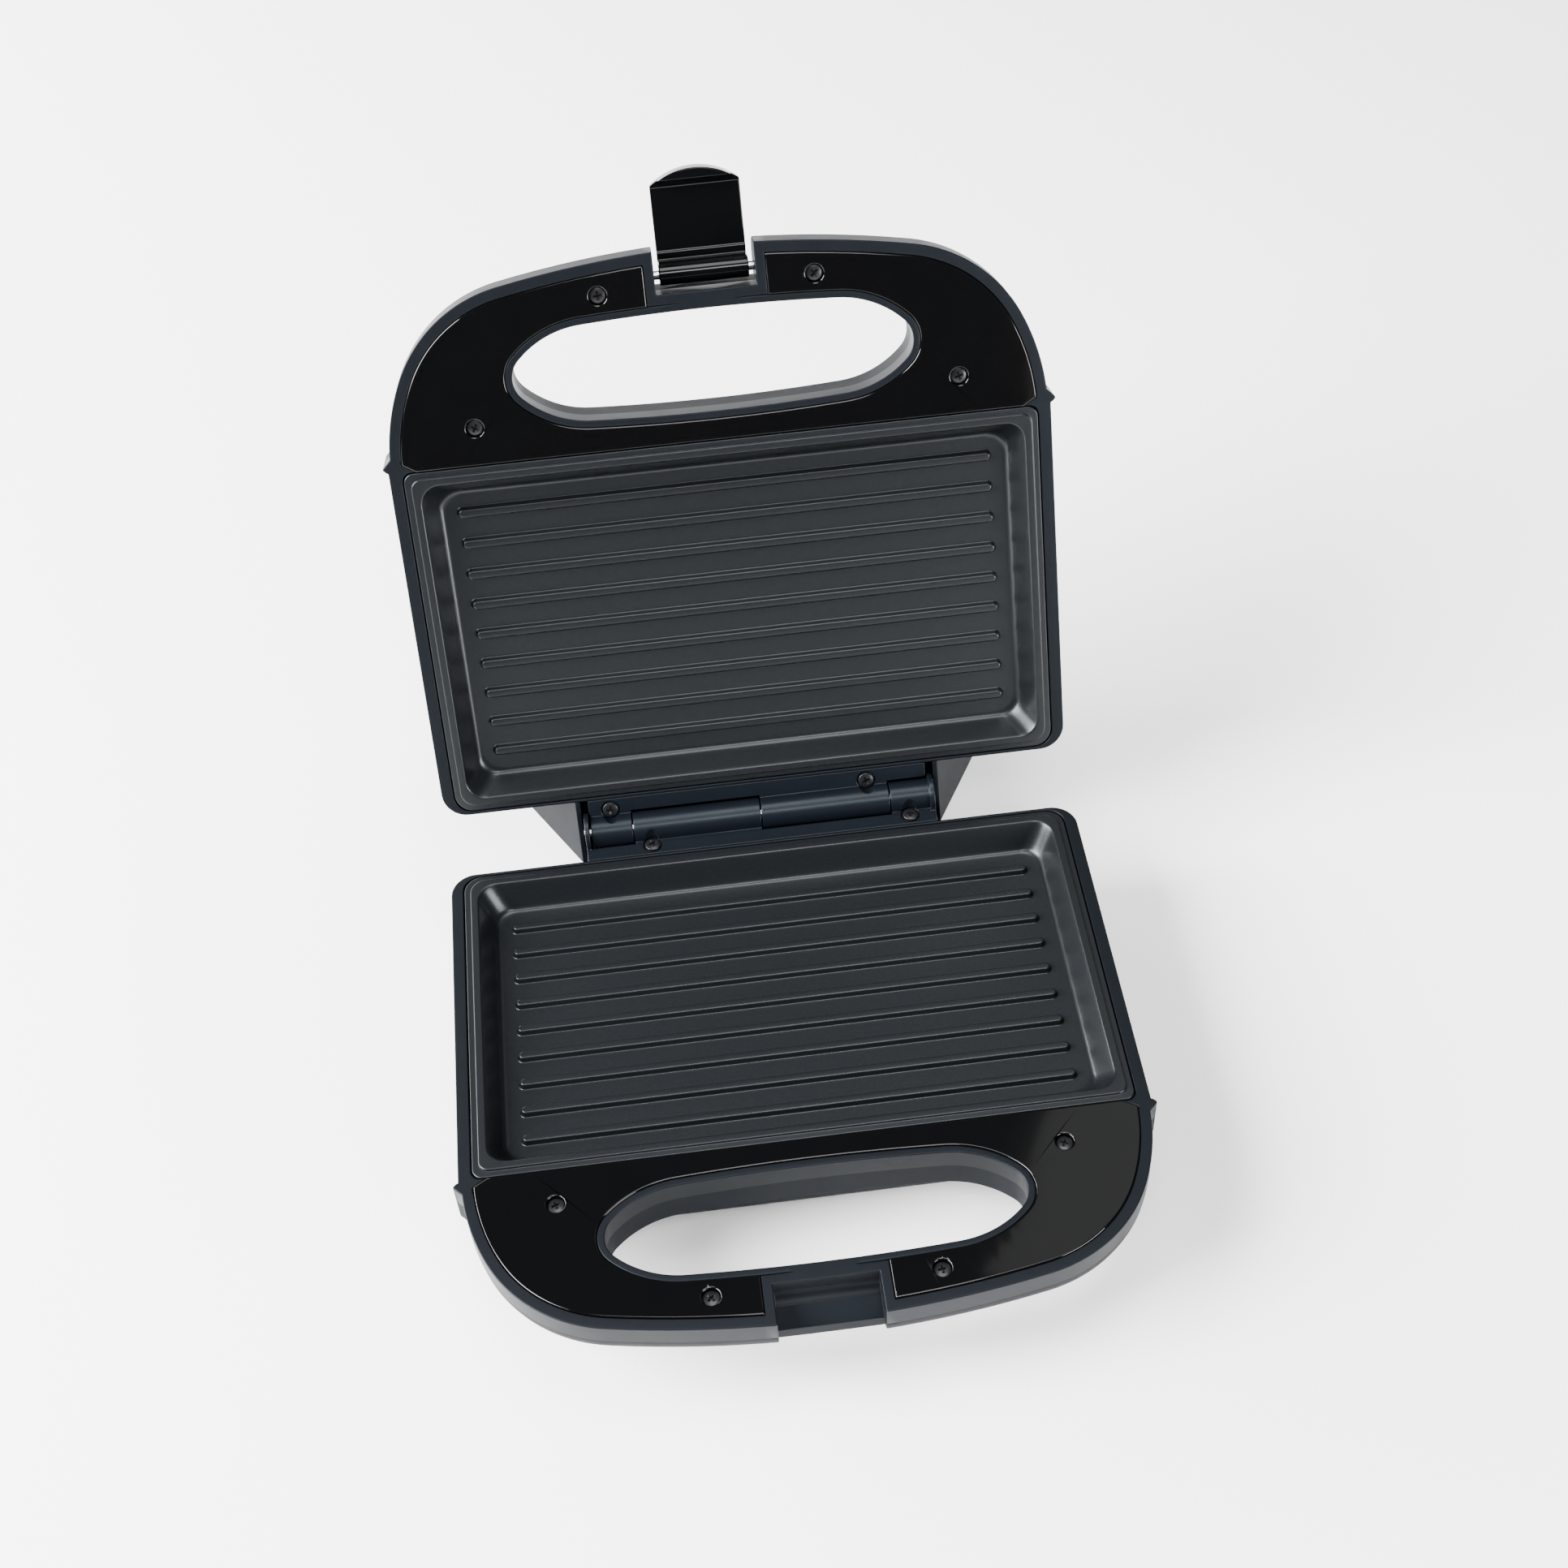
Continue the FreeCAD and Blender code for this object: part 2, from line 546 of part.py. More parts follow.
def housing(half):
    """Outer casing and the bezel that frames the plate, split at the parting line."""
    wall, deep = cell("wall"), cell("body_deep")
    outer = tray_and_handle(f"{half}_outer", half, ZERO, ZERO, ZERO)
    handle_top = -cell("trim_deep") - wall
    inner = tray_and_handle(f"{half}_inner", half, wall, -cell("ledge_under"), handle_top)
    shelf_low = -cell("flange_thick") - cell("shelf_thick")
    added, removed = [outer] + ears(f"{half}_ears"), [inner]
    if half == "base":
        added.append(neck("base_neck", ZERO, -cell("flange_thick")))
        removed.append(neck("base_neck_hollow", wall, shelf_low))
        gland = rod("base_gland_bore", cell("gland_radius"), wall + 4, ZERO,
                    cell("neck_back") - wall - 2, -cell("gland_depth"), Rotation(Vector(1, 0, 0), -90))
        removed.append(gland)
    else:
        added.append(hood("lid_hood", ZERO))
        removed.append(hood("lid_hood_hollow", cell("hood_wall")))
    shell = cut(f"{half}_shell", fuse(f"{half}_solid", added), *removed)
    inserts = bores(f"{half}_boss", trim_screw_spots(half), cell("boss_radius"),
                    -cell("handle_deep") + wall - 0.5, handle_top + 0.5)
    if half == "lid":
        shelf_half = cell("bracket_half") - cell("shelf_play")
        inserts.append(block("lid_hinge_shelf", (-shelf_half, shelf_half),
                             (-cell("body_back") - wall, -cell("neck_wall")),
                             (shelf_low, -cell("flange_thick"))))
    shell = fuse(f"{half}_shell_with_bosses", [shell] + inserts)

    gap = cell("seat_gap")
    seat = slab(f"{half}_plate_seat", cell("plate_half") + gap, cell("plate_back") - gap,
                cell("plate_front") + gap, cell("plate_corner_back"), cell("plate_corner_front"),
                -cell("ledge_top"), Size.of(2))
    well_room = cell("plate_half") - cell("ledge_inside")
    opening = slab(f"{half}_plate_opening", cell("ledge_inside"), cell("plate_back") + well_room,
                   cell("plate_front") - well_room, cell("well_corner"), cell("well_corner"),
                   -cell("ledge_under") - 1, Size.of(1))
    recess = trim_form(f"{half}_trim_recess", cell("trim_fit"), -cell("trim_deep"), Size.of(1))
    screw_low = -cell("trim_deep") - cell("trim_screw_long")
    tools = [seat, opening, recess]
    tools += bores(f"{half}_trim_bore", trim_screw_spots(half), cell("screw_shank"), screw_low, ZERO)
    tools += bores(f"{half}_hinge_bore", hinge_screw_spots(half), cell("screw_shank"),
                   -cell("hinge_screw_long") - cell("hinge_seat"), ZERO)
    tools += bores(f"{half}_shield_bore", shield_screw_spots(half), cell("small_shank"),
                   -cell("ledge_under") - 1, -cell("ledge_top") - BLIND_END)
    if half == "base":
        for number, (x, y) in enumerate(foot_spots(), start=1):
            tools.append(rod(f"base_foot_bore_{number}", cell("foot_peg"), wall + 2, x, y, -deep - 1))
    else:
        pin_reach = cell("notch_half") + cell("latch_pin_grip") + PIN_END_PLAY
        tools.append(rod("lid_pin_bore", cell("latch_pin"), pin_reach * 2, -pin_reach,
                         -cell("latch_back"), -cell("latch_low"), ALONG_X))
        for side in (-1, 1):
            tools.append(rod(f"lid_lens_bore_{side + 1}", cell("lens_radius"), wall + 2,
                             cell("lens_side") * side, -cell("lens_front"), -deep - 1))
    shell = cut(f"{half}_shell_cut", shell, *tools)
    beside, rim_back = cell("ear_tip") + 5, -cell("body_back")
    upper = block(f"{half}_bezel_room", (-beside, beside), (-cell("handle_reach") - 5, rim_back),
                  (-cell("parting_depth"), Size.of(3)))
    return {
        f"{half}_casing": cut(f"{half}_casing", shell, upper),
        f"{half}_bezel": common(f"{half}_bezel", shell, upper),
    }


def trim(half):
    """Glossy panel let into the handle's face, with bevelled edges and screw holes."""
    sheet = trim_form(f"{half}_trim_panel", ZERO, -cell("trim_deep"), cell("trim_proud"))
    holes = bores(f"{half}_trim_hole", trim_screw_spots(half), cell("screw_bore"),
                  -cell("trim_deep") - 1, cell("trim_proud") + 1)
    return {f"{half}_trim": cut(f"{half}_trim", sheet, *holes)}


def hinge_bracket(half):
    """Flange and barrels; the base also has a round cheek at each end."""
    back, rise, thick = -cell("flange_back"), cell("axis_rise"), cell("flange_thick")
    barrel, pin = cell("barrel_radius"), cell("pin_radius")
    side = cell("neck_half") if half == "base" else cell("bracket_half")
    pieces = [block(f"{half}_flange", (-side, side), (-cell("body_back"), back), (-thick, ZERO))]
    for kind in ("long", "short"):
        start, end = cell(f"{half}_{kind}_start"), cell(f"{half}_{kind}_end")
        pieces.append(rod(f"{half}_{kind}_barrel", barrel, end - start, start, ZERO, rise, ALONG_X))
        pieces.append(block(f"{half}_{kind}_web", (start, end), (back - 1, ZERO), (-thick, ZERO)))
    if half == "base":
        for x in (-cell("neck_half"), cell("cheek_inside")):
            end = x + cell("neck_half") - cell("cheek_inside")
            name = "left" if x.value < 0 else "right"
            pieces.append(rod(f"cheek_{name}", cell("cheek_radius"), end - x, x, ZERO, rise, ALONG_X))
            pieces.append(block(f"cheek_web_{name}", (x, end), (back - 1, ZERO), (-thick, ZERO)))
    play = ZERO if half == "base" else cell("pin_play")
    tools = [rod(f"{half}_pin_bore", pin + play, side * 2 + 4, -side - 2, ZERO, rise, ALONG_X)]
    seat = -cell("hinge_seat")
    for number, (x, y) in enumerate(hinge_screw_spots(half), start=1):
        tools.append(rod(f"{half}_relief_{number}", cell("screw_head") + cell("relief_grow"), 9, x, y,
                         seat))
        tools.append(rod(f"{half}_flange_bore_{number}", cell("screw_shank"), 6, x, y, -thick - 1))
    bracket = cut(f"{half}_hinge_bracket", fuse(f"{half}_bracket_solid", pieces), *tools)
    return {f"{half}_hinge_bracket": bracket}


def grill_plate(half):
    """Cast plate: rim, sloping well, nine ridges and four studs underneath."""
    body = new_body(f"{half}_plate_body")
    wide, near, far = cell("plate_half"), cell("plate_back"), cell("plate_front")
    back, front, step = cell("plate_corner_back"), cell("plate_corner_front"), cell("rim_step")
    proud, floor = cell("plate_proud"), -cell("well_depth")
    flange = sketch(body, f"{half}_plate_plan", rounded_rectangle(wide, near, far, back, front),
                    level=ZERO)
    pad(body, f"{half}_plate_flange", flange, cell("flange_under"), down=True)
    rim = sketch(body, f"{half}_rim_outline",
                 rounded_rectangle(wide - step, near + step, far - step, back - 1, front), level=ZERO)
    pad(body, f"{half}_plate_rim", rim, proud)
    corner = cell("well_corner")

    def ring(name, inset, level):
        plan = rounded_rectangle(wide - inset, near + inset, far - inset, corner, corner)
        return sketch(body, name, plan, level=level)

    inset, slope, pan = step + cell("rim_width"), cell("well_slope"), cell("pan_wall")
    pan_top = inset - cell("well_pan_gap")
    pan_low = floor - pan
    loft(body, f"{half}_pan", ring(f"{half}_pan_top", pan_top, -cell("flange_under") + 0.5),
         ring(f"{half}_pan_low", pan_top + slope - 1.2, pan_low))
    loft(body, f"{half}_well", ring(f"{half}_well_top", inset, proud),
         ring(f"{half}_well_floor", inset + slope, floor), kind="SubtractiveLoft")
    half_wide, first = cell("ridge_width") / 2, -cell("ridge_first")
    end = cell("ridge_half") - half_wide
    ridge_plan = sketch(body, f"{half}_ridge_plan", [
        (-end, first - half_wide, half_wide), (end, first - half_wide),
        (end, first + half_wide, half_wide), (-end, first + half_wide)], level=floor)
    ridge = pad(body, f"{half}_ridge", ridge_plan, cell("ridge_tall"))
    ridge.TaperAngle = -cell("ridge_draft").value
    DOC.recompute()
    row = body.newObject("PartDesign::LinearPattern", f"{half}_ridges")
    row.Originals = [ridge]
    row.Direction = (ridge_plan, ["V_Axis"])
    row.Reversed = True
    bind(row, Length=cell("ridge_pitch") * (cell("ridge_count") - 1), Occurrences=cell("ridge_count"))
    body.Tip = row
    stud_long = cell("shield_deep") + pan_low
    studs = [rod(f"{half}_stud_{number}", cell("stud_radius"), stud_long + 0.5, x, y,
                 -cell("shield_deep"))
             for number, (x, y) in enumerate(stud_spots(half), start=1)]
    threads = bores(f"{half}_stud_thread", stud_spots(half), cell("screw_shank"),
                    -cell("shield_deep") - 1, -cell("shield_deep") + cell("stud_thread"))
    return {f"{half}_grill_plate": cut(f"{half}_grill_plate",
                                       fuse(f"{half}_plate_solid", [body] + studs), *threads)}


def heater(half):
    """Sheathed element: one loop under the plate, with round bends and two straight tails."""
    body = new_body(f"{half}_heater")
    radius, bend = cell("heater_radius"), cell("heater_bend")
    side, back, front = cell("heater_half"), -cell("heater_back"), -cell("heater_front")
    gap = cell("heater_gap_half")
    level = -cell("well_depth") - cell("pan_wall") - radius
    route = sketch(body, f"{half}_heater_route", [
        (-gap, back), (-side + bend, back), (-side, back - bend, bend), (-side, front + bend),
        (-side + bend, front, bend), (side - bend, front), (side, front + bend, bend),
        (side, back - bend), (side - bend, back, bend), (gap, back)], level=level, closed=False)
    ring = circle_sketch(body, f"{half}_heater_section", back, level, radius, "YZ_Plane", -gap)
    tube = body.newObject("PartDesign::AdditivePipe", f"{half}_heater_tube")
    tube.Profile = ring
    tube.Spine = (route, [f"Edge{number}" for number in range(1, 10)])
    body.Tip = tube
    return {f"{half}_heater": body}


def heat_shield(half):
    """Pressed steel pan that hangs from the ledge and holds the plate by its studs."""
    body = new_body(f"{half}_shield_body")
    sheet, ledge = cell("shield_sheet"), -cell("ledge_under")
    flange, corner = cell("shield_flange"), cell("well_corner")
    lip_near = cell("body_back") + cell("wall") + cell("shield_lip_gap")
    lip_far = cell("body_front") - cell("wall") - cell("shield_lip_gap") * 1.5
    plan = sketch(body, f"{half}_shield_lip_plan",
                  rounded_rectangle(flange, lip_near, lip_far, corner, corner), level=ledge)
    pad(body, f"{half}_shield_lip", plan, sheet, down=True)
    bowl_depth = cell("shield_deep") + sheet + ledge

    def bowl(name, inset):
        outline = rounded_rectangle(cell("shield_half") - inset, cell("shield_back") + inset,
                                    cell("shield_front") - inset, corner, corner)
        return sketch(body, name, outline, level=ledge)

    pad(body, f"{half}_shield_bowl", bowl(f"{half}_bowl_plan", ZERO), bowl_depth, down=True)
    pocket(body, f"{half}_shield_hollow", bowl(f"{half}_hollow_plan", sheet), bowl_depth - sheet)
    holes = bores(f"{half}_shield_hole", stud_spots(half), cell("screw_shank"),
                  -cell("shield_deep") - 2, -cell("shield_deep") + 1)
    holes += bores(f"{half}_shield_lip_hole", shield_screw_spots(half), cell("small_shank"),
                   ledge - 2, ledge + 1)
    return {f"{half}_heat_shield": cut(f"{half}_heat_shield", body, *holes)}


def fasteners(half):
    seat = -cell("trim_deep")
    head, tall, shank = cell("screw_head"), cell("screw_head_tall"), cell("screw_shank")
    low = -cell("shield_deep") - cell("shield_sheet")
    lip = -cell("ledge_under") - cell("shield_sheet")
    return {
        f"{half}_trim_screws": screws(f"{half}_trim_screws", trim_screw_spots(half), seat, head, tall,
                                      shank, cell("trim_screw_long")),
        f"{half}_hinge_screws": screws(f"{half}_hinge_screws", hinge_screw_spots(half),
                                       -cell("hinge_seat"), head, tall, shank,
                                       cell("hinge_screw_long")),
        f"{half}_plate_screws": screws(f"{half}_plate_screws", stud_spots(half), low, head, tall,
                                       shank, cell("shield_sheet") + cell("plate_screw_long"),
                                       down=False),
        f"{half}_shield_screws": screws(f"{half}_shield_screws", shield_screw_spots(half), lip,
                                        cell("small_head"), cell("small_head_tall"),
                                        cell("small_shank"), cell("shield_sheet")
                                        + cell("ledge_under") - cell("ledge_top") - BLIND_END,
                                        down=False),
    }


def controls(half):
    """Thermostat under the plate's middle, with a thermal fuse beside it."""
    level, top = -cell("shield_deep"), -cell("well_depth") - cell("pan_wall")
    middle = -(cell("plate_back") + cell("plate_front")) / 2
    disc = rod(f"{half}_thermostat", cell("thermostat_radius"), top - level, ZERO, middle, level)
    link = rod(f"{half}_thermal_fuse", cell("fuse_radius"), cell("fuse_long"), cell("fuse_side"),
               middle, top - cell("fuse_radius"), ALONG_X)
    return {f"{half}_thermostat": disc, f"{half}_thermal_fuse": link}


# ---- sub-parts that only one half has ----------------------------------------------------------

def foot_spots():
    return [(cell(across) * side, -cell(reach))
            for across, reach in (("foot_side", "foot_front"), ("foot_rear_side", "foot_rear"))
            for side in (-1, 1)]


def base_only():
    wall, deep, rise = cell("wall"), cell("body_deep"), cell("axis_rise")
    radius, tall, peg = cell("foot_radius"), cell("foot_tall"), cell("foot_peg")
    edge = cell("foot_edge")
    feet = []
    for number, (x, y) in enumerate(foot_spots(), start=1):
        profile = [(0, 0), (radius - edge, 0), (radius, edge), (radius, tall), (peg, tall),
                   (peg, tall + wall + 1), (0, tall + wall + 1)]
        feet.append(put(revolve(f"foot_{number}", profile), x, y, -deep - tall))
    level, back = -cell("gland_depth"), cell("neck_back")
    out = Rotation(Vector(1, 0, 0), -90)
    inside = back - wall - cell("gland_inside")
    sleeve = rod("gland_sleeve", cell("gland_radius"), wall + cell("gland_inside") * 2, ZERO, inside,
                 level, out)
    lip = rod("gland_collar", cell("gland_lip"), cell("gland_collar"), ZERO, back, level, out)
    bore = rod("gland_bore_tool", cell("gland_bore"), 14, ZERO, back - 8, level, out)
    pin_end = cell("neck_half") + cell("hinge_pin_end")
    block_low = wall - deep
    leads_start = -cell("body_back") - 14
    leads = [rod(f"base_lead_{side + 1}", cell("lead_radius"), inside - leads_start,
                 cell("lead_side") * side, leads_start, level, out) for side in (-1, 1)]
    return {
        "feet": group("feet", feet),
        "cord_gland": cut("cord_gland", fuse("gland_solid", [sleeve, lip]), bore),
        "hinge_pin": rod("hinge_pin", cell("pin_radius"), pin_end * 2, -pin_end, ZERO, rise, ALONG_X),
        "terminal_block": block("terminal_block", (-cell("terminal_half"), cell("terminal_half")),
                                (leads_start - cell("terminal_wide"), leads_start),
                                (block_low, block_low + cell("terminal_tall"))),
        "base_leads": group("base_leads", leads),
    }


def lid_only():
    deep, radius = cell("body_deep"), cell("lens_radius")
    y, low, lens_tall = -cell("lens_front"), -deep - cell("lens_proud"), cell("wall") + 2
    lenses = {}
    for name, side in (("ready_lens", -1), ("power_lens", 1)):
        lenses[name] = rod(name, radius, lens_tall, cell("lens_side") * side, y, low)
    lamps = [rod(f"lamp_{side + 1}", cell("lamp_radius"), cell("lamp_long"), cell("lens_side") * side,
                 y, low + lens_tall) for side in (-1, 1)]
    reach = cell("notch_half") + cell("latch_pin_grip")
    pin = rod("latch_pin", cell("latch_pin"), reach * 2, -reach, -cell("latch_back"),
              -cell("latch_low"), ALONG_X)
    return {**lenses, "lid_lamps": group("lid_lamps", lamps), "latch_pin": pin}


def latch():
    """Swinging catch: roll on the pin, flat plate, and a lip that goes under the base's handle."""
    back, low, half = cell("latch_back"), cell("latch_low"), cell("latch_half")
    roll_radius, offset = cell("latch_roll"), cell("latch_offset")
    tip = -back - cell("latch_reach")
    plate_top = -low - offset
    plate_low = plate_top - cell("latch_thick")
    lip = tip + cell("latch_lip")
    body = new_body("latch_body")
    side = sketch(body, "latch_side", [
        (-back - roll_radius, -low), (-back - roll_radius, plate_top), (lip, plate_top),
        (lip, plate_top + cell("latch_lip_rise")), (tip, plate_top + cell("latch_lip_rise")),
        (tip, plate_low), (-back + roll_radius, plate_low), (-back + roll_radius, -low)],
        plane="YZ_Plane")
    pad(body, "latch_web", side, half * 2, both=True)
    bow = cell("latch_bow")
    bow_radius = half * half / (bow * 2) + bow / 2
    plan_body = new_body("latch_plan_body")
    plan = sketch(plan_body, "latch_plan", [
        (-half, -back + 10), (-half, tip + bow), (half, tip + bow, bow_radius), (half, -back + 10)])
    pad(plan_body, "latch_plan_block", plan, Size.of(60), both=True)
    roll = rod("latch_roll", roll_radius, half * 2, -half, -back, -low, ALONG_X)
    shape = fuse("latch_solid", [common("latch_trimmed", body, plan_body), roll])
    bore = rod("latch_bore", cell("latch_pin") + cell("pin_play"), half * 2 + 4, -half - 2, -back,
               -low, ALONG_X)
    return {"latch": cut("latch", shape, bore)}


# ---- assembly ---------------------------------------------------------------------------------

def half_place(half):
    """Where a half stands: the base level on its feet, the lid turned over and laid open."""
    back = cell("axis_back").value
    axis = (cell("body_deep") + cell("foot_tall") + cell("axis_rise")).value
    rise = cell("axis_rise").value
    if half == "base":
        return Placement(Vector(0, back, axis - rise), Rotation())
    opened = Placement(Vector(0, back, axis), Rotation(Vector(1, 0, 0), -cell("open_angle").value))
    turned_over = Placement(Vector(0, 0, rise), Rotation(Vector(0, 1, 0), 180))
    return opened.multiply(turned_over)


def build():
    nodes = {}
    for half in ("base", "lid"):
        for maker in (housing, trim, hinge_bracket, grill_plate, heater, heat_shield, fasteners,
                      controls):
            nodes.update({name: (item, half) for name, item in maker(half).items()})
    nodes.update({name: (item, "base") for name, item in base_only().items()})
    for maker in (lid_only, latch):
        nodes.update({name: (item, "lid") for name, item in maker().items()})
    return nodes


def export(nodes):
    """Place each sub-part, check the whole document, and write one file for each."""
    DOC.recompute()
    failed = [item.Name for item in DOC.Objects if {"Invalid", "Error"} & set(item.State)]
    if failed:
        raise RuntimeError(f"failed objects: {failed}")
    os.makedirs("parts", exist_ok=True)
    for name, (item, half) in nodes.items():
        item.Label = name
        shape = item.Shape.copy()
        if shape.isNull() or not shape.isValid():
            raise RuntimeError(f"{name} has no valid shape")
        shape.Placement = half_place(half).multiply(shape.Placement)
        box = shape.BoundBox
        shape.exportStep(f"parts/{name}.step")
        print(f"{name}: {len(shape.Solids)} solids, {shape.Volume:.0f} mm3, "
              f"x {box.XMin:.1f} to {box.XMax:.1f}, y {box.YMin:.1f} to {box.YMax:.1f}, "
              f"z {box.ZMin:.1f} to {box.ZMax:.1f}")


export(build())
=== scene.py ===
"""Looks of the opened panini press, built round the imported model."""
import json
import logging
import math
from dataclasses import dataclass, field
from enum import Enum

import bmesh
import bpy
from mathutils import Matrix, Vector


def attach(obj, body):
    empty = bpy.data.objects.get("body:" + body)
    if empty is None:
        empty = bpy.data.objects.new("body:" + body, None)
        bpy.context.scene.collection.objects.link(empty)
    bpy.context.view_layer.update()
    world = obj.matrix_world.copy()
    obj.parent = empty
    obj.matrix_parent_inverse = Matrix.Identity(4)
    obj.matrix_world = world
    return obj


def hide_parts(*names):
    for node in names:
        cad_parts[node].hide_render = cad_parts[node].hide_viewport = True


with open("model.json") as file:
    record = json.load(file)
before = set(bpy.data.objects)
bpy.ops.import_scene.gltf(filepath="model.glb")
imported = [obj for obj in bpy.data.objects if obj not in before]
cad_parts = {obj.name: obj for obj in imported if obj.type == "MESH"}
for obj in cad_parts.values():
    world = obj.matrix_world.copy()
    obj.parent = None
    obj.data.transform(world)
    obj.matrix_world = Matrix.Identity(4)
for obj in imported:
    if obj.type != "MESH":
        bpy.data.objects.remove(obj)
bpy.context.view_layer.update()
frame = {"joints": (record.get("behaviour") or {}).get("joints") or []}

MM = 0.001
LOG = logging.getLogger("panini_press")

Pair = tuple[float, float]
Triple = tuple[float, float, float]
Profile = list[Pair]
Loop = list[bmesh.types.BMVert]
Ring = tuple[list[Vector], float]


class Half(Enum):
    """The two halves that the hinge joins."""

    BASE = "base"
    LID = "lid"


def joint(name: str) -> dict:
    """Find a joint of the frame.

    Args:
        name: The joint's name in the record.

    Returns:
        The record's entry for it.
    """
    return next(entry for entry in frame["joints"] if entry["name"] == name)


# ---- materials ----

COAT_ROUGHNESS = 0.04
LEAST_ROUGHNESS = 0.02
MOTTLE_DETAIL, GRAIN_DETAIL, SMUDGE_DETAIL, WAVE_DETAIL = 5.0, 2.0, 3.0, 0.0
SMUDGE_SHARE = 0.6


def set_inputs(node: bpy.types.Node, values: dict[str, float | tuple[float, ...]]) -> None:
    """Give a node's sockets their uniform values."""
    for name, value in values.items():
        node.inputs[name].default_value = value


@dataclass(frozen=True)
class Finish:
    """A surface finish: colour, gloss, and the fine texture that the mould or coating leaves."""

    name: str
    colour: Triple
    second: Triple
    roughness: float
    roughness_spread: float = 0.05
    metallic: float = 0.0
    grain_size: float = 0.5
    grain_height: float = 0.01
    wave_size: float = 30.0
    wave_height: float = 0.0
    mottle_size: float = 14.0
    coat: float = 0.0
    specular: float = 0.5
    # Colour of the reflections; a bluish tint here is painted reflection of cool light, not the
    # material's own colour.
    tint: Triple = (1.0, 1.0, 1.0)

    def material(self) -> bpy.types.Material:
        """Build the material once, and hand back the same one after that.

        Returns:
            The node material of this finish.
        """
        name = f"finish_{self.name}"
        known = bpy.data.materials.get(name)
        if known:
            return known
        made = bpy.data.materials.new(name)
        made.use_nodes = True
        tree = made.node_tree
        shader = tree.nodes["Principled BSDF"]
        set_inputs(shader, {
            "Metallic": self.metallic, "Specular IOR Level": self.specular,
            "Specular Tint": (*self.tint, 1.0), "Coat Weight": self.coat,
            "Coat Roughness": COAT_ROUGHNESS})
        place = tree.nodes.new("ShaderNodeTexCoord").outputs["Object"]
        mottle = self._noise(tree, place, self.mottle_size, MOTTLE_DETAIL)
        blend = tree.nodes.new("ShaderNodeMix")
        blend.data_type = "RGBA"
        set_inputs(blend, {"A": (*self.colour, 1.0), "B": (*self.second, 1.0)})
        tree.links.new(mottle, blend.inputs["Factor"])
        tree.links.new(blend.outputs["Result"], shader.inputs["Base Color"])
        grain = self._noise(tree, place, self.grain_size, GRAIN_DETAIL)
        spread = tree.nodes.new("ShaderNodeMapRange")
        set_inputs(spread, {
            "To Min": max(self.roughness - self.roughness_spread, LEAST_ROUGHNESS),
            "To Max": self.roughness + self.roughness_spread})
        smudge = self._noise(tree, place, self.mottle_size * SMUDGE_SHARE, SMUDGE_DETAIL)
        tree.links.new(smudge, spread.inputs["Value"])
        tree.links.new(spread.outputs["Result"], shader.inputs["Roughness"])
        normal = self._bump(tree, grain, self.grain_height, None)
        if self.wave_height:
            wave = self._noise(tree, place, self.wave_size, WAVE_DETAIL)
            normal = self._bump(tree, wave, self.wave_height, normal)
        tree.links.new(normal, shader.inputs["Normal"])
        return made

    @staticmethod
    def _noise(tree: bpy.types.NodeTree, place: bpy.types.NodeSocket, size: float,
               detail: float) -> bpy.types.NodeSocket:
        """Add a noise texture whose features are about size millimetres across."""
        node = tree.nodes.new("ShaderNodeTexNoise")
        set_inputs(node, {"Scale": 1.0 / (size * MM), "Detail": detail})
        tree.links.new(place, node.inputs["Vector"])
        return node.outputs["Fac"]

    @staticmethod
    def _bump(tree: bpy.types.NodeTree, height: bpy.types.NodeSocket, depth: float,
              before: bpy.types.NodeSocket | None) -> bpy.types.NodeSocket:
        """Add a bump of depth millimetres on top of an earlier normal."""
        node = tree.nodes.new("ShaderNodeBump")
        set_inputs(node, {"Distance": depth * MM, "Strength": 1.0})
        tree.links.new(height, node.inputs["Height"])
        if before is not None:
            tree.links.new(before, node.inputs["Normal"])
        return node.outputs["Normal"]


# Painted bluish reflection: this specular tint stands in for the cool light of the room reflected
# in the housing, shell and hinge plastics.
PAINTED_BLUE_REFLECTION = (0.80, 0.90, 1.0)
HOUSING = Finish("satin_housing", (0.0022, 0.0027, 0.0036), (0.0028, 0.0034, 0.0045), 0.40,
                 roughness_spread=0.04, grain_size=0.35, grain_height=0.010, specular=0.12,
                 tint=PAINTED_BLUE_REFLECTION)
SHELL = Finish("matt_shell", (0.0018, 0.0024, 0.0036), (0.0023, 0.0031, 0.0045), 0.50,
               roughness_spread=0.04, grain_size=0.35, grain_height=0.012, specular=0.075,
               tint=PAINTED_BLUE_REFLECTION)
HINGE = Finish("hinge_plastic", (0.0018, 0.0025, 0.0040), (0.0024, 0.0033, 0.0050), 0.34,
               grain_size=0.35, grain_height=0.008, specular=0.18, tint=PAINTED_BLUE_REFLECTION)
LATCH = Finish("latch_plastic", (0.0010, 0.0011, 0.0013), (0.0013, 0.0014, 0.0017), 0.11,
               grain_size=0.35, grain_height=0.001, specular=0.16)
PIANO_BLACK = Finish("piano_black", (0.0008, 0.0008, 0.0009), (0.0011, 0.0011, 0.0012), 0.08,
                     roughness_spread=0.02, grain_size=0.9, grain_height=0.0003, wave_size=38.0,
                     wave_height=0.008, coat=0.3, specular=0.15)
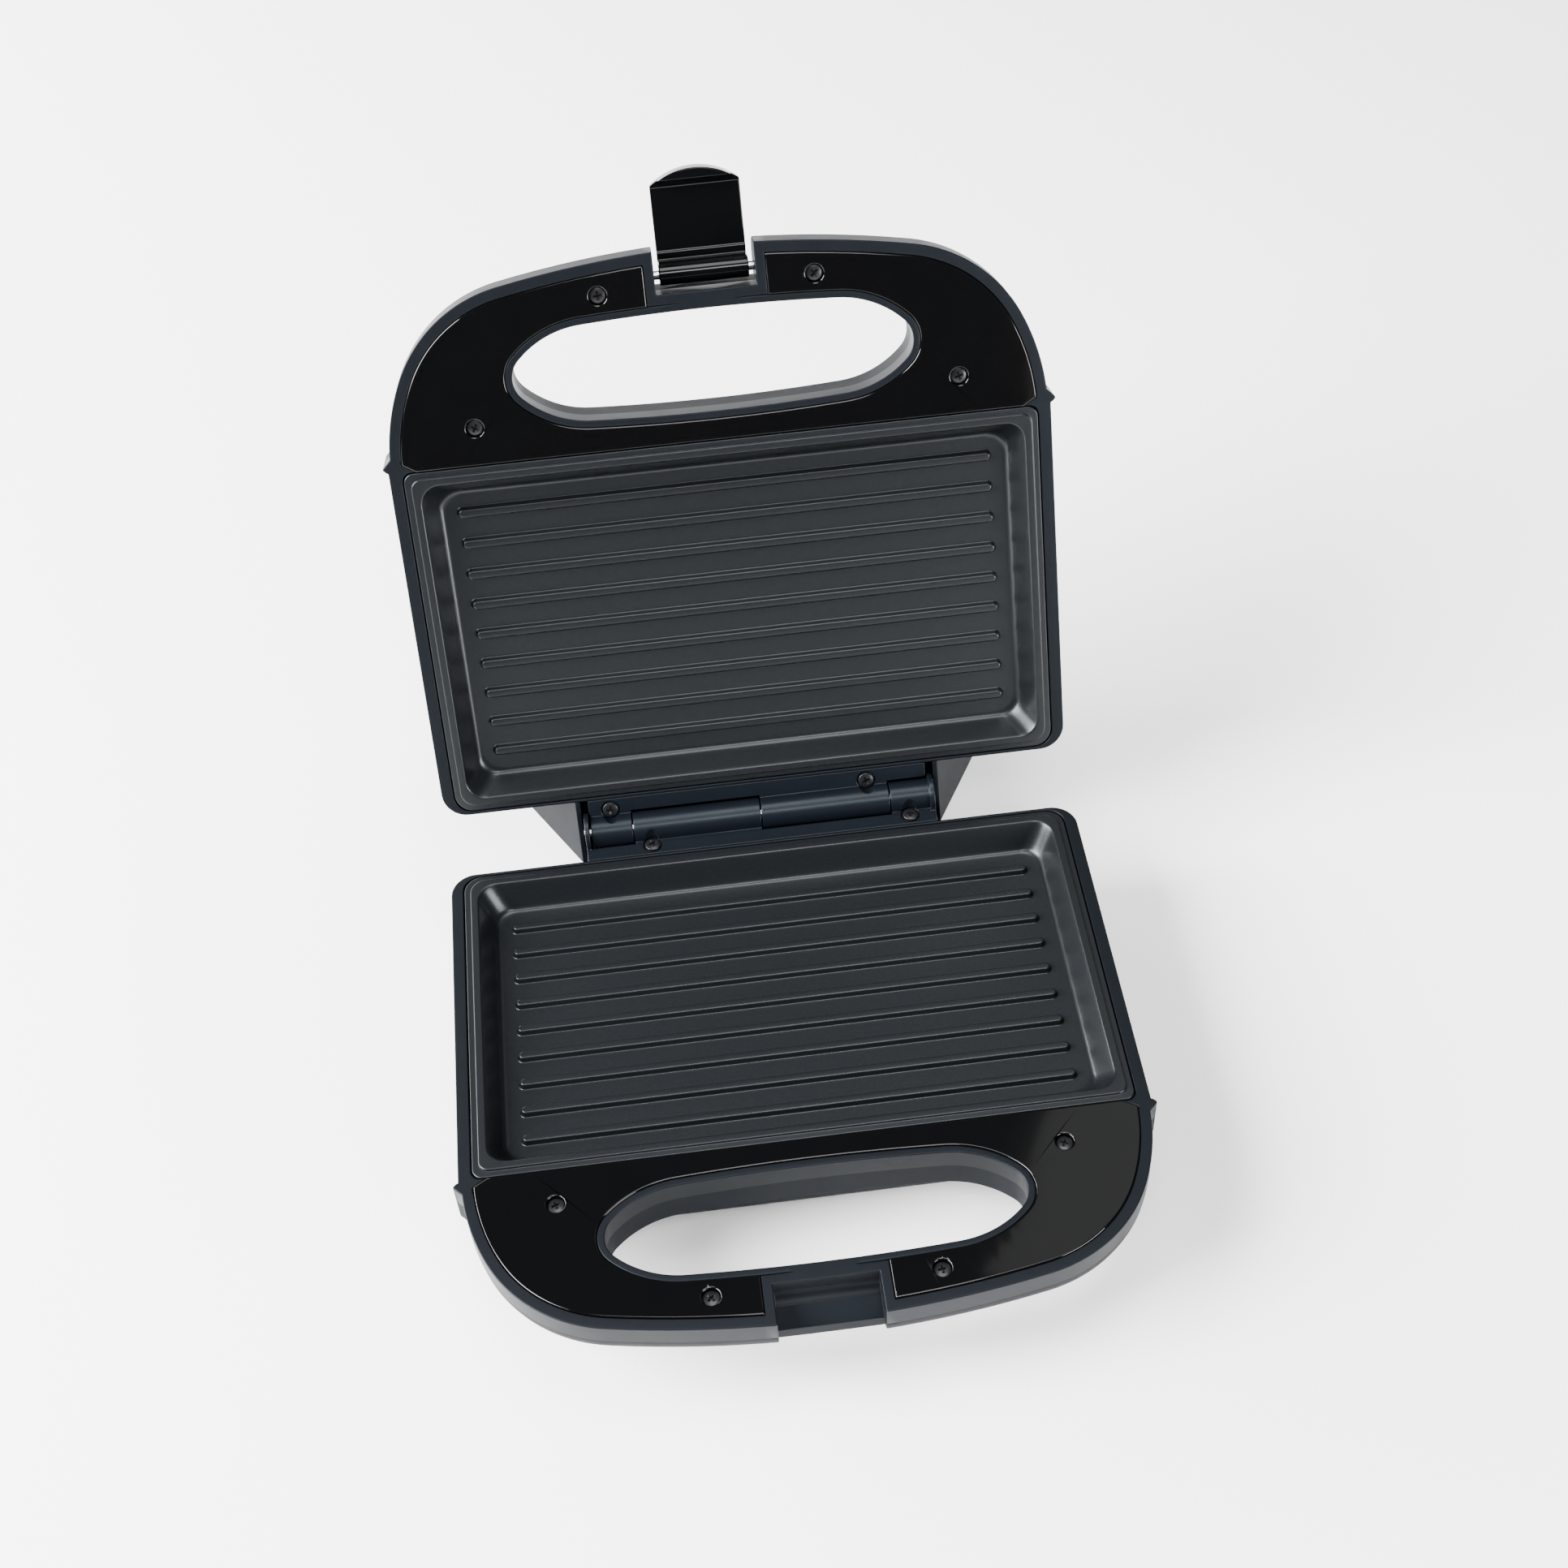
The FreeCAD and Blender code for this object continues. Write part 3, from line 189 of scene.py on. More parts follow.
# The plate's specular tint is a painted bluish reflection of the cool room light.
NONSTICK = Finish("nonstick_coating", (0.0022, 0.0026, 0.0033), (0.0040, 0.0046, 0.0054), 0.31,
                  roughness_spread=0.04, grain_size=0.5, grain_height=0.022,
                  wave_size=9.0, wave_height=0.012, mottle_size=1.0, specular=0.30,
                  tint=(0.90, 0.96, 1.0))
BLACK_SCREW = Finish("black_oxide_screw", (0.004, 0.004, 0.005), (0.007, 0.007, 0.008), 0.30,
                     metallic=0.3, grain_size=0.3, grain_height=0.006, specular=0.35)
ZINC = Finish("zinc_plate", (0.55, 0.55, 0.53), (0.62, 0.62, 0.6), 0.3, metallic=1.0,
              grain_size=0.4, grain_height=0.004)
PIN_STEEL = Finish("drawn_steel", (0.60, 0.60, 0.60), (0.52, 0.52, 0.53), 0.22, metallic=1.0,
                   grain_size=0.3, grain_height=0.003)
SHEATH = Finish("heater_sheath", (0.27, 0.25, 0.23), (0.20, 0.18, 0.16), 0.42, metallic=0.9,
                grain_size=0.5, grain_height=0.01)
SHIELD = Finish("aluminised_sheet", (0.62, 0.62, 0.62), (0.55, 0.55, 0.56), 0.34, metallic=1.0,
                grain_size=1.2, grain_height=0.006)
RUBBER = Finish("foot_rubber", (0.007, 0.007, 0.007), (0.011, 0.011, 0.011), 0.75,
                grain_size=0.6, grain_height=0.03)
CERAMIC = Finish("glazed_ceramic", (0.70, 0.68, 0.62), (0.74, 0.72, 0.66), 0.25,
                 grain_size=1.0, grain_height=0.004)
TERMINAL = Finish("terminal_plastic", (0.72, 0.71, 0.66), (0.76, 0.75, 0.70), 0.45)
SLEEVING = Finish("glass_fibre_sleeving", (0.50, 0.48, 0.42), (0.60, 0.58, 0.52), 0.7,
                  grain_size=0.4, grain_height=0.05)
READY = Finish("green_lens", (0.02, 0.30, 0.05), (0.025, 0.34, 0.06), 0.12, coat=1.0)
POWER = Finish("red_lens", (0.42, 0.01, 0.01), (0.47, 0.014, 0.012), 0.12, coat=1.0)
LAMP = Finish("lamp_glass", (0.80, 0.74, 0.62), (0.84, 0.78, 0.66), 0.08, coat=1.0)


# ---- outlines ----

def arc(start: Vector, end: Vector, radius: float, steps: int) -> list[Vector]:
    """Points along an arc, without its end.

    Args:
        start: First point.
        end: Last point.
        radius: Positive where the arc turns left, negative where it turns right.
        steps: How many points to give.

    Returns:
        The points, the first of them at start.
    """
    chord = end - start
    side = Vector((-chord.y, chord.x)).normalized()
    away = math.sqrt(max(radius * radius - chord.length_squared / 4, 0.0))
    centre = (start + end) / 2 + side * math.copysign(away, radius)
    first, last = start - centre, end - centre
    turn = math.acos(max(-1.0, min(1.0, first.normalized().dot(last.normalized()))))
    turn = math.copysign(turn, radius)
    return [centre + Matrix.Rotation(turn * step / steps, 2) @ first for step in range(steps)]


def trace(corners: list[tuple[float, ...]], steps: int = 12) -> list[Vector]:
    """Closed outline from corners.

    Args:
        corners: (x, y), or (x, y, radius) where an arc of that radius leads to the corner.
        steps: Points on each arc.

    Returns:
        The outline's points in order.
    """
    points: list[Vector] = []
    for number, corner in enumerate(corners):
        following = corners[(number + 1) % len(corners)]
        start, end = Vector(corner[:2]), Vector(following[:2])
        if len(following) == 3 and following[2]:
            points.extend(arc(start, end, following[2], steps))
        else:
            points.append(start)
    return points


class Outline:
    """A closed outline that can be drawn in or let out."""

    def at(self, inset: float) -> list[Vector]:
        """Points of the outline, drawn in by inset millimetres."""
        raise NotImplementedError


@dataclass(frozen=True)
class RoundedRectangle(Outline):
    """Rectangle across the press, from y = -near to y = -far, with rounded corners."""

    half: float
    near: float
    far: float
    back_radius: float
    front_radius: float
    least_radius: float = 0.6
    steps: int = 8

    def at(self, inset: float) -> list[Vector]:
        """Points of the rectangle, drawn in by inset millimetres."""
        half, low, high = self.half - inset, inset - self.far, -self.near - inset
        back = max(self.back_radius - inset, self.least_radius)
        front = max(self.front_radius - inset, self.least_radius)
        return trace([
            (-half + front, low, front), (half - front, low), (half, low + front, front),
            (half, high - back), (half - back, high, back), (-half + back, high),
            (-half, high - back, back), (-half, low + front)], self.steps)


@dataclass(frozen=True)
class HandleLoop(Outline):
    """Outer line of the handle: three tangent arcs on each side of the front."""

    reach: float = 209.3
    radii: Triple = (374.5, 50.4, 77.8)
    turns: Triple = (10.8, 64.4, 86.6)
    root: float = 137.0
    shoulder: float = 14.0

    def side(self, inset: float) -> list[Pair]:
        """The arcs' ends on the right, from the front to the root.

        Args:
            inset: How far the outline is drawn in.

        Returns:
            Three (x, y) points.
        """
        radii = [radius - inset for radius in self.radii]
        turns = [math.radians(turn) for turn in self.turns]
        across = radii[0] * math.sin(turns[0])
        reach = self.reach - inset - radii[0] * (1 - math.cos(turns[0]))
        ends = [(across, -reach)]
        for number in (1, 2):
            across += radii[number] * (math.sin(turns[number]) - math.sin(turns[number - 1]))
            reach -= radii[number] * (math.cos(turns[number - 1]) - math.cos(turns[number]))
            ends.append((across, -reach))
        return ends

    def at(self, inset: float) -> list[Vector]:
        """Points of the loop with its root, drawn in by inset millimetres."""
        front, corner, root = self.side(inset)
        radii = [radius - inset for radius in self.radii]
        shoulder = root[0] - self.shoulder
        return trace([
            (-shoulder, -self.root), (-root[0], root[1]), (-corner[0], corner[1], radii[2]),
            (-front[0], front[1], radii[1]), (front[0], front[1], radii[0]),
            (corner[0], corner[1], radii[1]), (root[0], root[1], radii[2]),
            (shoulder, -self.root)], 20)


@dataclass(frozen=True)
class FingerOpening(Outline):
    """Opening of the handle: two long shallow arcs that bend through tighter ones to the ends."""

    middle: float = 170.75
    tall: float = 17.75
    long_radius: float = 736.0
    turn: float = 3.4
    bend_radius: float = 34.0
    bend_turn: float = 45.0

    def at(self, inset: float) -> list[Vector]:
        """Points of the opening; a positive inset lets it out, as it bounds a hole."""
        turn, end_turn = math.radians(self.turn), math.radians(self.bend_turn)
        long_radius, bend = self.long_radius + inset, self.bend_radius + inset
        long_x = long_radius * math.sin(turn)
        long_y = self.tall + inset - long_radius * (1 - math.cos(turn))
        end_x = long_x + bend * (math.sin(end_turn) - math.sin(turn))
        end_y = long_y - bend * (math.cos(turn) - math.cos(end_turn))
        end = end_y / math.cos(end_turn)
        quarter = [(long_x, -long_y, long_radius), (end_x, -end_y, bend), (end_x, end_y, end),
                   (long_x, long_y, bend)]
        corners = quarter + [(-x, -y, radius) for x, y, radius in quarter]
        return trace([(x, y - self.middle, radius) for x, y, radius in corners], 14)


@dataclass(frozen=True)
class Disc(Outline):
    """Circle about a point."""

    radius: float
    centre: Pair = (0.0, 0.0)
    steps: int = 40

    def at(self, inset: float) -> list[Vector]:
        """Points of the circle, drawn in by inset millimetres."""
        start = Vector((self.radius - inset, 0.0))
        return [Vector(self.centre) + Matrix.Rotation(2 * math.pi * step / self.steps, 2) @ start
                for step in range(self.steps)]


def rounding(inset: float, level: float, radius: float, rising: bool, steps: int = 5) -> Profile:
    """Quarter round between a wall and a flat face.

    Args:
        inset: The wall's inset.
        level: The face's height.
        radius: Radius of the round.
        rising: True from the wall up on to the face, False from a lower face out to the wall.
        steps: Number of spans in the round.

    Returns:
        (inset, height) points in order.
    """
    points = []
    for step in range(steps + 1):
        angle = math.pi / 2 * step / steps
        if rising:
            points.append((inset + radius * (1 - math.cos(angle)),
                           level - radius * (1 - math.sin(angle))))
        else:
            points.append((inset + radius * (1 - math.sin(angle)),
                           level + radius * (1 - math.cos(angle))))
    return points


def wall(low: float, high: float, low_round: float, high_round: float) -> Profile:
    """Upright wall between two faces, with both of its edges rounded."""
    return rounding(0.0, low, low_round, False) + rounding(0.0, high, high_round, True)


# ---- mesh building ----

# Cutting blocks reach this far, past the press's sides and its front.
SIDE_REACH, FRONT_REACH = 130.0, 230.0
UPRIGHT = Matrix.Identity(4)
SIDEWAYS = Matrix(((0, 0, 1, 0), (1, 0, 0, 0), (0, 1, 0, 0), (0, 0, 0, 1)))
ENDWAYS = Matrix(((1, 0, 0, 0), (0, 0, 1, 0), (0, 1, 0, 0), (0, 0, 0, 1)))


class Builder:
    """Gathers the closed solids of one piece in a half's own frame, in millimetres."""

    def __init__(self, turn: Matrix = UPRIGHT) -> None:
        """Start empty; turn maps a drawing's x, y and height to the half's frame."""
        self.mesh = bmesh.new()
        self.turn = turn

    def _place(self, point: Vector, level: float) -> Vector:
        """Put a drawing's point at a height into the half's frame."""
        return self.turn @ Vector((point.x, point.y, level))

    def _loop(self, points: list[Vector], level: float) -> Loop:
        """Add a closed loop of edges."""
        spots = [self.mesh.verts.new(self._place(point, level)) for point in points]
        for number, spot in enumerate(spots):
            self.mesh.edges.new((spot, spots[(number + 1) % len(spots)]))
        return spots

    def _edges(self, loop: Loop) -> list[bmesh.types.BMEdge]:
        """Edges between each vertex of a loop and the one after it."""
        return [self.mesh.edges.get((spot, loop[(number + 1) % len(loop)]))
                for number, spot in enumerate(loop)]

    def sweep(self, rings: list[Ring]) -> tuple[Loop, Loop]:
        """Extrude a loop through a row of rings.

        Args:
            rings: (points, height) for each ring, all with the same number of points.

        Returns:
            The first and the last loop of vertices.
        """
        loop = first = self._loop(*rings[0])
        for points, level in rings[1:]:
            made = bmesh.ops.extrude_edge_only(self.mesh, edges=self._edges(loop))["geom"]
            fresh = {spot.co.to_tuple(5): spot for spot in made
                     if isinstance(spot, bmesh.types.BMVert)}
            loop = [fresh[spot.co.to_tuple(5)] for spot in loop]
            for spot, point in zip(loop, points):
                spot.co = self._place(point, level)
        return first, loop

    def profile(self, outline: Outline, profile: Profile) -> tuple[Loop, Loop]:
        """Sweep an outline through the (inset, height) points of a profile."""
        return self.sweep([(outline.at(inset), level) for inset, level in profile])

    def cap(self, *loops: Loop) -> None:
        """Close the flat face inside the first loop, leaving out the others."""
        edges = [edge for loop in loops for edge in self._edges(loop)]
        if len(loops) == 1:
            bmesh.ops.contextual_create(self.mesh, geom=edges)
        else:
            bmesh.ops.triangle_fill(self.mesh, use_beauty=True, use_dissolve=False, edges=edges)

    def closed(self, rings: list[Ring]) -> "Builder":
        """Closed solid through a row of rings, capped at both ends."""
        for loop in self.sweep(rings):
            self.cap(loop)
        return self

    def solid(self, outline: Outline, profile: Profile) -> "Builder":
        """Closed solid with no holes: an outline swept through a profile."""
        return self.closed([(outline.at(inset), level) for inset, level in profile])

    def pierced(self, loops: list[tuple[Outline, Profile]]) -> "Builder":
        """Closed solid with holes; the first outline is the outer one."""
        ends = [self.profile(outline, profile) for outline, profile in loops]
        self.cap(*[first for first, _ in ends])
        self.cap(*[last for _, last in ends])
        return self

    def rod(self, radius: float, start: float, end: float, edge: float = 0.4,
            centre: Pair = (0.0, 0.0), steps: int = 48) -> "Builder":
        """Round rod along the drawing's height, with rounded ends."""
        return self.solid(Disc(radius, centre, steps), wall(start, end, edge, edge))

    def to_object(self, name: str) -> bpy.types.Object:
        """Hand the gathered solids over as an object in the half's frame.

        Args:
            name: The object's name.

        Returns:
            The new object; the builder is spent.
        """
        bmesh.ops.remove_doubles(self.mesh, verts=self.mesh.verts, dist=1e-4)
        bmesh.ops.recalc_face_normals(self.mesh, faces=self.mesh.faces)
        data = bpy.data.meshes.new(name)
        self.mesh.to_mesh(data)
        self.mesh.free()
        made = bpy.data.objects.new(name, data)
        bpy.context.scene.collection.objects.link(made)
        return made


MERGE_GAP = 0.03
SLIVER = 0.01
SEAM_TOLERANCE = 1e-3


class Shape:
    """A solid that is still being joined and cut, in the half's frame."""

    def __init__(self, solid: Builder, name: str = "shape") -> None:
        """Start from one builder's solids."""
        self.body = solid.to_object(name)

    def _apply(self, tool: "Builder | Shape", operation: str) -> "Shape":
        """Join, cut or keep what is common with a tool, and use the tool up."""
        other = tool.body if isinstance(tool, Shape) else tool.to_object("tool")
        modifier = self.body.modifiers.new("with_tool", "BOOLEAN")
        modifier.operation, modifier.solver, modifier.object = operation, "EXACT", other
        shown = bpy.context.evaluated_depsgraph_get()
        data = bpy.data.meshes.new_from_object(self.body.evaluated_get(shown))
        self.body.modifiers.clear()
        spent, self.body.data = self.body.data, data
        bpy.data.meshes.remove(spent)
        bpy.data.objects.remove(other)
        return self

    def join(self, *tools: "Builder | Shape") -> "Shape":
        """Add each tool's solid."""
        for tool in tools:
            self._apply(tool, "UNION")
        return self

    def cut(self, *tools: "Builder | Shape") -> "Shape":
        """Take each tool's solid away."""
        for tool in tools:
            self._apply(tool, "DIFFERENCE")
        return self

    def keep(self, tool: "Builder | Shape") -> "Shape":
        """Keep only what lies inside the tool."""
        return self._apply(tool, "INTERSECT")

    def copy(self) -> "Shape":
        """A second, independent shape of the same form."""
        twin = Shape(Builder(), self.body.name)
        twin.body.data = self.body.data.copy()
        return twin

    def finish(self, name: str, place: Matrix, finish: Finish, edge: float = 0.35,
               angle: float = 33.0, segments: int = 3, seam: float | None = None
               ) -> bpy.types.Object:
        """Place the shape, round its edges and dress it.

        Args:
            name: The piece's name.
            place: From the half's frame in millimetres to the row's frame in metres.
            finish: What the piece is made of.
            edge: Radius of the rounded edges in millimetres; 0 leaves them as they are.
            angle: Edges that turn by more than this many degrees are rounded.
            segments: Spans across each rounded edge.
            seam: Height of a plane whose edges stay sharp, so that the seam there closes up.

        Returns:
            The finished object, at the origin.
        """
        piece = self.body
        piece.name = name
        data = piece.data
        data.name = name
        mesh = bmesh.new()
        mesh.from_mesh(data)
        bmesh.ops.remove_doubles(mesh, verts=mesh.verts, dist=MERGE_GAP)
        bmesh.ops.dissolve_degenerate(mesh, edges=mesh.edges, dist=SLIVER)
        many = [face for face in mesh.faces if len(face.verts) > 4]
        bmesh.ops.triangulate(mesh, faces=many, ngon_method="BEAUTY")
        weight = mesh.edges.layers.float.new("bevel_weight_edge")
        for line in mesh.edges:
            sharp = line.calc_face_angle(0.0) > math.radians(angle)
            in_seam = seam is not None and all(
                abs(spot.co.z - seam) < SEAM_TOLERANCE for spot in line.verts)
            line[weight] = 1.0 if edge and sharp and not in_seam else 0.0
            line.smooth = not (sharp and (in_seam or not edge))
        bmesh.ops.transform(mesh, matrix=place, verts=mesh.verts)
        mesh.to_mesh(data)
        mesh.free()
        for polygon in data.polygons:
            polygon.use_smooth = True
        if edge:
            bevel = piece.modifiers.new("edges", "BEVEL")
            bevel.width, bevel.segments = edge * MM, segments
            bevel.limit_method = "WEIGHT"
            bevel.use_clamp_overlap = False
            bevel.loop_slide = False
        weighted = piece.modifiers.new("flat_faces", "WEIGHTED_NORMAL")
        weighted.keep_sharp = True
        weighted.weight = 100
        data.materials.clear()
        data.materials.append(finish.material())
        return piece


def half_place(half: Half) -> Matrix:
    """Where a half stands.

    Args:
        half: Base or lid.

    Returns:
        From the half's own frame in millimetres to the row's frame in metres.
    """
    hinge = joint("lid_hinge")
    axis = Matrix.Translation(Vector(hinge["pos_m"]))
    rise = Matrix.Translation(Vector((0, 0, HingeLine().rise * MM)))
    scale = Matrix.Scale(MM, 4)
    if half is Half.BASE:
        return axis @ rise.inverted() @ scale
    opened = Matrix.Rotation(math.radians(-hinge["range_deg"][1]), 4, "X")
    return axis @ opened @ rise @ Matrix.Rotation(math.pi, 4, "Y") @ scale


def box(across: Pair, along: Pair, up: Pair) -> Builder:
    """Rectangular block between two corners, as a tool or a plain slab."""
    corners = trace([(across[0], along[0]), (across[1], along[0]), (across[1], along[1]),
                     (across[0], along[1])])
    return Builder().closed([(corners, level) for level in up])


def side_form(points: list[tuple[float, ...]], half: float) -> Builder:
    """Solid of a side view (y, z), from x = -half to x = +half."""
    outline = trace(points)
    return Builder(SIDEWAYS).closed([(outline, -half), (outline, half)])


def small_piece(builder: Builder, name: str, half: Half, finish: Finish, angle: float = 40.0
                ) -> bpy.types.Object:
    """Hand over a piece whose edges are drawn round already."""
    return Shape(builder).finish(name, half_place(half), finish, edge=0.0, angle=angle)


# ---- hinge ----

@dataclass(frozen=True)
class HingeLine:
    """The hinge's axis above the rim plane, and the barrels that each half has on it."""

    rise: float = 1.0
    barrel_radius: float = 6.0
    pin_radius: float = 2.2
    play: float = 0.08
    flange: Pair = (-12.4, -6.8)
    thick: float = 3.5
    cheek_radius: float = 7.5
    cheek_inside: float = 62.9
    side: dict[Half, float] = field(default_factory=lambda: {Half.BASE: 64.6, Half.LID: 62.5})
    barrels: dict[Half, tuple[Pair, ...]] = field(default_factory=lambda: {
        Half.BASE: ((-46.7, 0.2), (48.4, 63.0)), Half.LID: ((-48.0, -0.6), (47.1, 62.3))})
    screws: dict[Half, Pair] = field(default_factory=lambda: {
        Half.BASE: (-40.5, 55.0), Half.LID: (-40.3, 54.5)})
    screw_back: float = 8.2
    relief_radius: float = 3.4
    relief_seat: float = -0.6


@dataclass(frozen=True)
class HingeBracket:
    """Flange with its barrels; the base's also has a round cheek at each end."""

    half: Half
    line: HingeLine = HingeLine()

    def _barrel(self, start: float, end: float, radius: float) -> list[Builder]:
        """Barrel with the web that joins it to the flange.

        Args:
            start: Where it starts across the press.
            end: Where it ends.
            radius: Outer radius.

        Returns:
            The solids to join.
        """
        line = self.line
        round_part = Builder(SIDEWAYS).rod(radius, start, end, 0.0, (0.0, line.rise), 64)
        web = box((start, end), (line.flange[1] - 1, 0.0), (-line.thick, 0.0))
        return [round_part, web]

    def build(self) -> bpy.types.Object:
        """Make the bracket."""
        line, half = self.line, self.half
        side = line.side[half]
        shape = Shape(box((-side, side), line.flange, (-line.thick, 0.0)))
        for start, end in line.barrels[half]:
            shape.join(*self._barrel(start, end, line.barrel_radius))
        if half is Half.BASE:
            for start, end in ((-side, -line.cheek_inside), (line.cheek_inside, side)):
                shape.join(*self._barrel(start, end, line.cheek_radius))
        bore = line.pin_radius + (line.play if half is Half.LID else 0.0)
        shape.cut(Builder(SIDEWAYS).rod(bore, -side - 2, side + 2, 0.0, (0.0, line.rise)))
        for across in line.screws[half]:
            shape.cut(Builder().rod(line.relief_radius, line.relief_seat, 9.0, 0.0,
                                    (across, -line.screw_back)))
        return shape.finish(f"{half.value}_hinge", half_place(half), HINGE, edge=0.3)


# ---- housing ----

@dataclass(frozen=True)
class Tray:
    """Tapering tub round the plate, open at the rim."""

    half: float = 114.8
    back: float = 12.4
    front: float = 147.0
    deep: float = 38.0
    side_taper: float = 6.0
    end_taper: float = 3.0
    back_radius: float = 9.0
    front_radius: float = 4.0
    front_radius_gain: float = 4.0
    edge: float = 5.0
    wall: float = 2.5

    def outline(self, level: float) -> RoundedRectangle:
        """Outer outline at a height below the rim."""
        share = -level / self.deep
        return RoundedRectangle(
            self.half - self.side_taper * share, self.back + self.end_taper * share,
            self.front - self.end_taper * share, self.back_radius,
            self.front_radius + self.front_radius_gain * share)

    def form(self, inset: float, top: float) -> Builder:
        """Solid form of the tub, drawn in by inset on every side.

        Args:
            inset: 0 for the outside, the wall's thickness for the hollow.
            top: Height of its upper face.

        Returns:
            The solid.
        """
        low = inset - self.deep
        radius = max(self.edge - inset, 0.8)
        rings = [(self.outline(top).at(inset), top)]
        for draw_in, level in rounding(inset, -low, radius, True, 6):
            rings.append((self.outline(-level).at(draw_in), -level))
        return Builder().closed(rings)


@dataclass(frozen=True)
class Grip:
    """Handle loop with its finger opening and a rounded lower edge."""

    loop: HandleLoop = HandleLoop()
    opening: FingerOpening = FingerOpening()
    deep: float = 18.0
    edge: float = 9.5

    def form(self, inset: float, top: float) -> Builder:
        """Solid form of the loop, drawn in by inset.

        Args:
            inset: 0 for the outside, the wall's thickness for the hollow.
            top: Height of its upper face.

        Returns:
            The solid, with the finger opening through it.
        """
        low = inset - self.deep
        outside = rounding(inset, low, self.edge - inset, False, 8) + [(inset, top)]
        opening = [(inset, low), (inset, top)]
        return Builder().pierced([(self.loop, outside), (self.opening, opening)])


@dataclass(frozen=True)
class Notch:
    """Gap in the middle of the handle's front for the latch."""

    half: float = 17.0
    start: float = 194.5
    face: float = 204.2
    top: float = 5.5
    low: float = 12.0
    beyond: float = 229.0
    below: float = 20.0

    def form(self, half: Half, inset: float) -> Builder:
        """Solid to cut away: a sloping seat in the base, a gap right through the lid."""
        start, face = inset - self.start, inset - self.face
        points = [(start, 2.0), (start, -self.below), (-self.beyond, -self.below),
                  (-self.beyond, 2.0)]
        if half is Half.BASE:
            points = [(start, 2.0), (start, -self.top - inset), (face, -self.low - inset),
                      (face, -self.below), (-self.beyond, -self.below), (-self.beyond, 2.0)]
        return side_form(points, self.half + inset)


@dataclass(frozen=True)
class TrimPanel:
    """Glossy panel let into the top of the handle."""

    inset: float = 4.0
    hole_grow: float = 2.6
    deep: float = 2.0
    proud: float = 0.3
    fit: float = 0.12
    gap_half: float = 20.5
    gap_start: float = 190.8
    rear: float = 142.9
    bore: float = 3.05
    grip: Grip = Grip()

    def form(self, grow: float, top: float) -> Shape:
        """The panel, or its recess when grown.

        Args:
            grow: How far it is let out.
            top: Height of its upper face.

        Returns:
            The solid.
        """
        outside, hole = self.inset - grow, self.hole_grow - grow
        shape = Shape(Builder().pierced([
            (self.grip.loop, [(outside, -self.deep), (outside, top)]),
            (self.grip.opening, [(hole, -self.deep), (hole, top)])]))
        gap, start, rear = self.gap_half - grow, self.gap_start + grow, self.rear - grow
        return shape.cut(box((-gap, gap), (-FRONT_REACH, -start), (-5.0, 5.0)),
                         box((-SIDE_REACH, SIDE_REACH), (-rear, 0.0), (-5.0, 5.0)))

    def build(self, half: Half) -> bpy.types.Object:
        """Make the panel with its four screw holes."""
        shape = self.form(0.0, self.proud)
        for across, along in TrimScrews().spots():
            shape.cut(Builder().rod(self.bore, -5.0, 5.0, 0.0, (across, along)))
        return shape.finish(f"{half.value}_panel", half_place(half), PIANO_BLACK, edge=0.5,
                            segments=4)


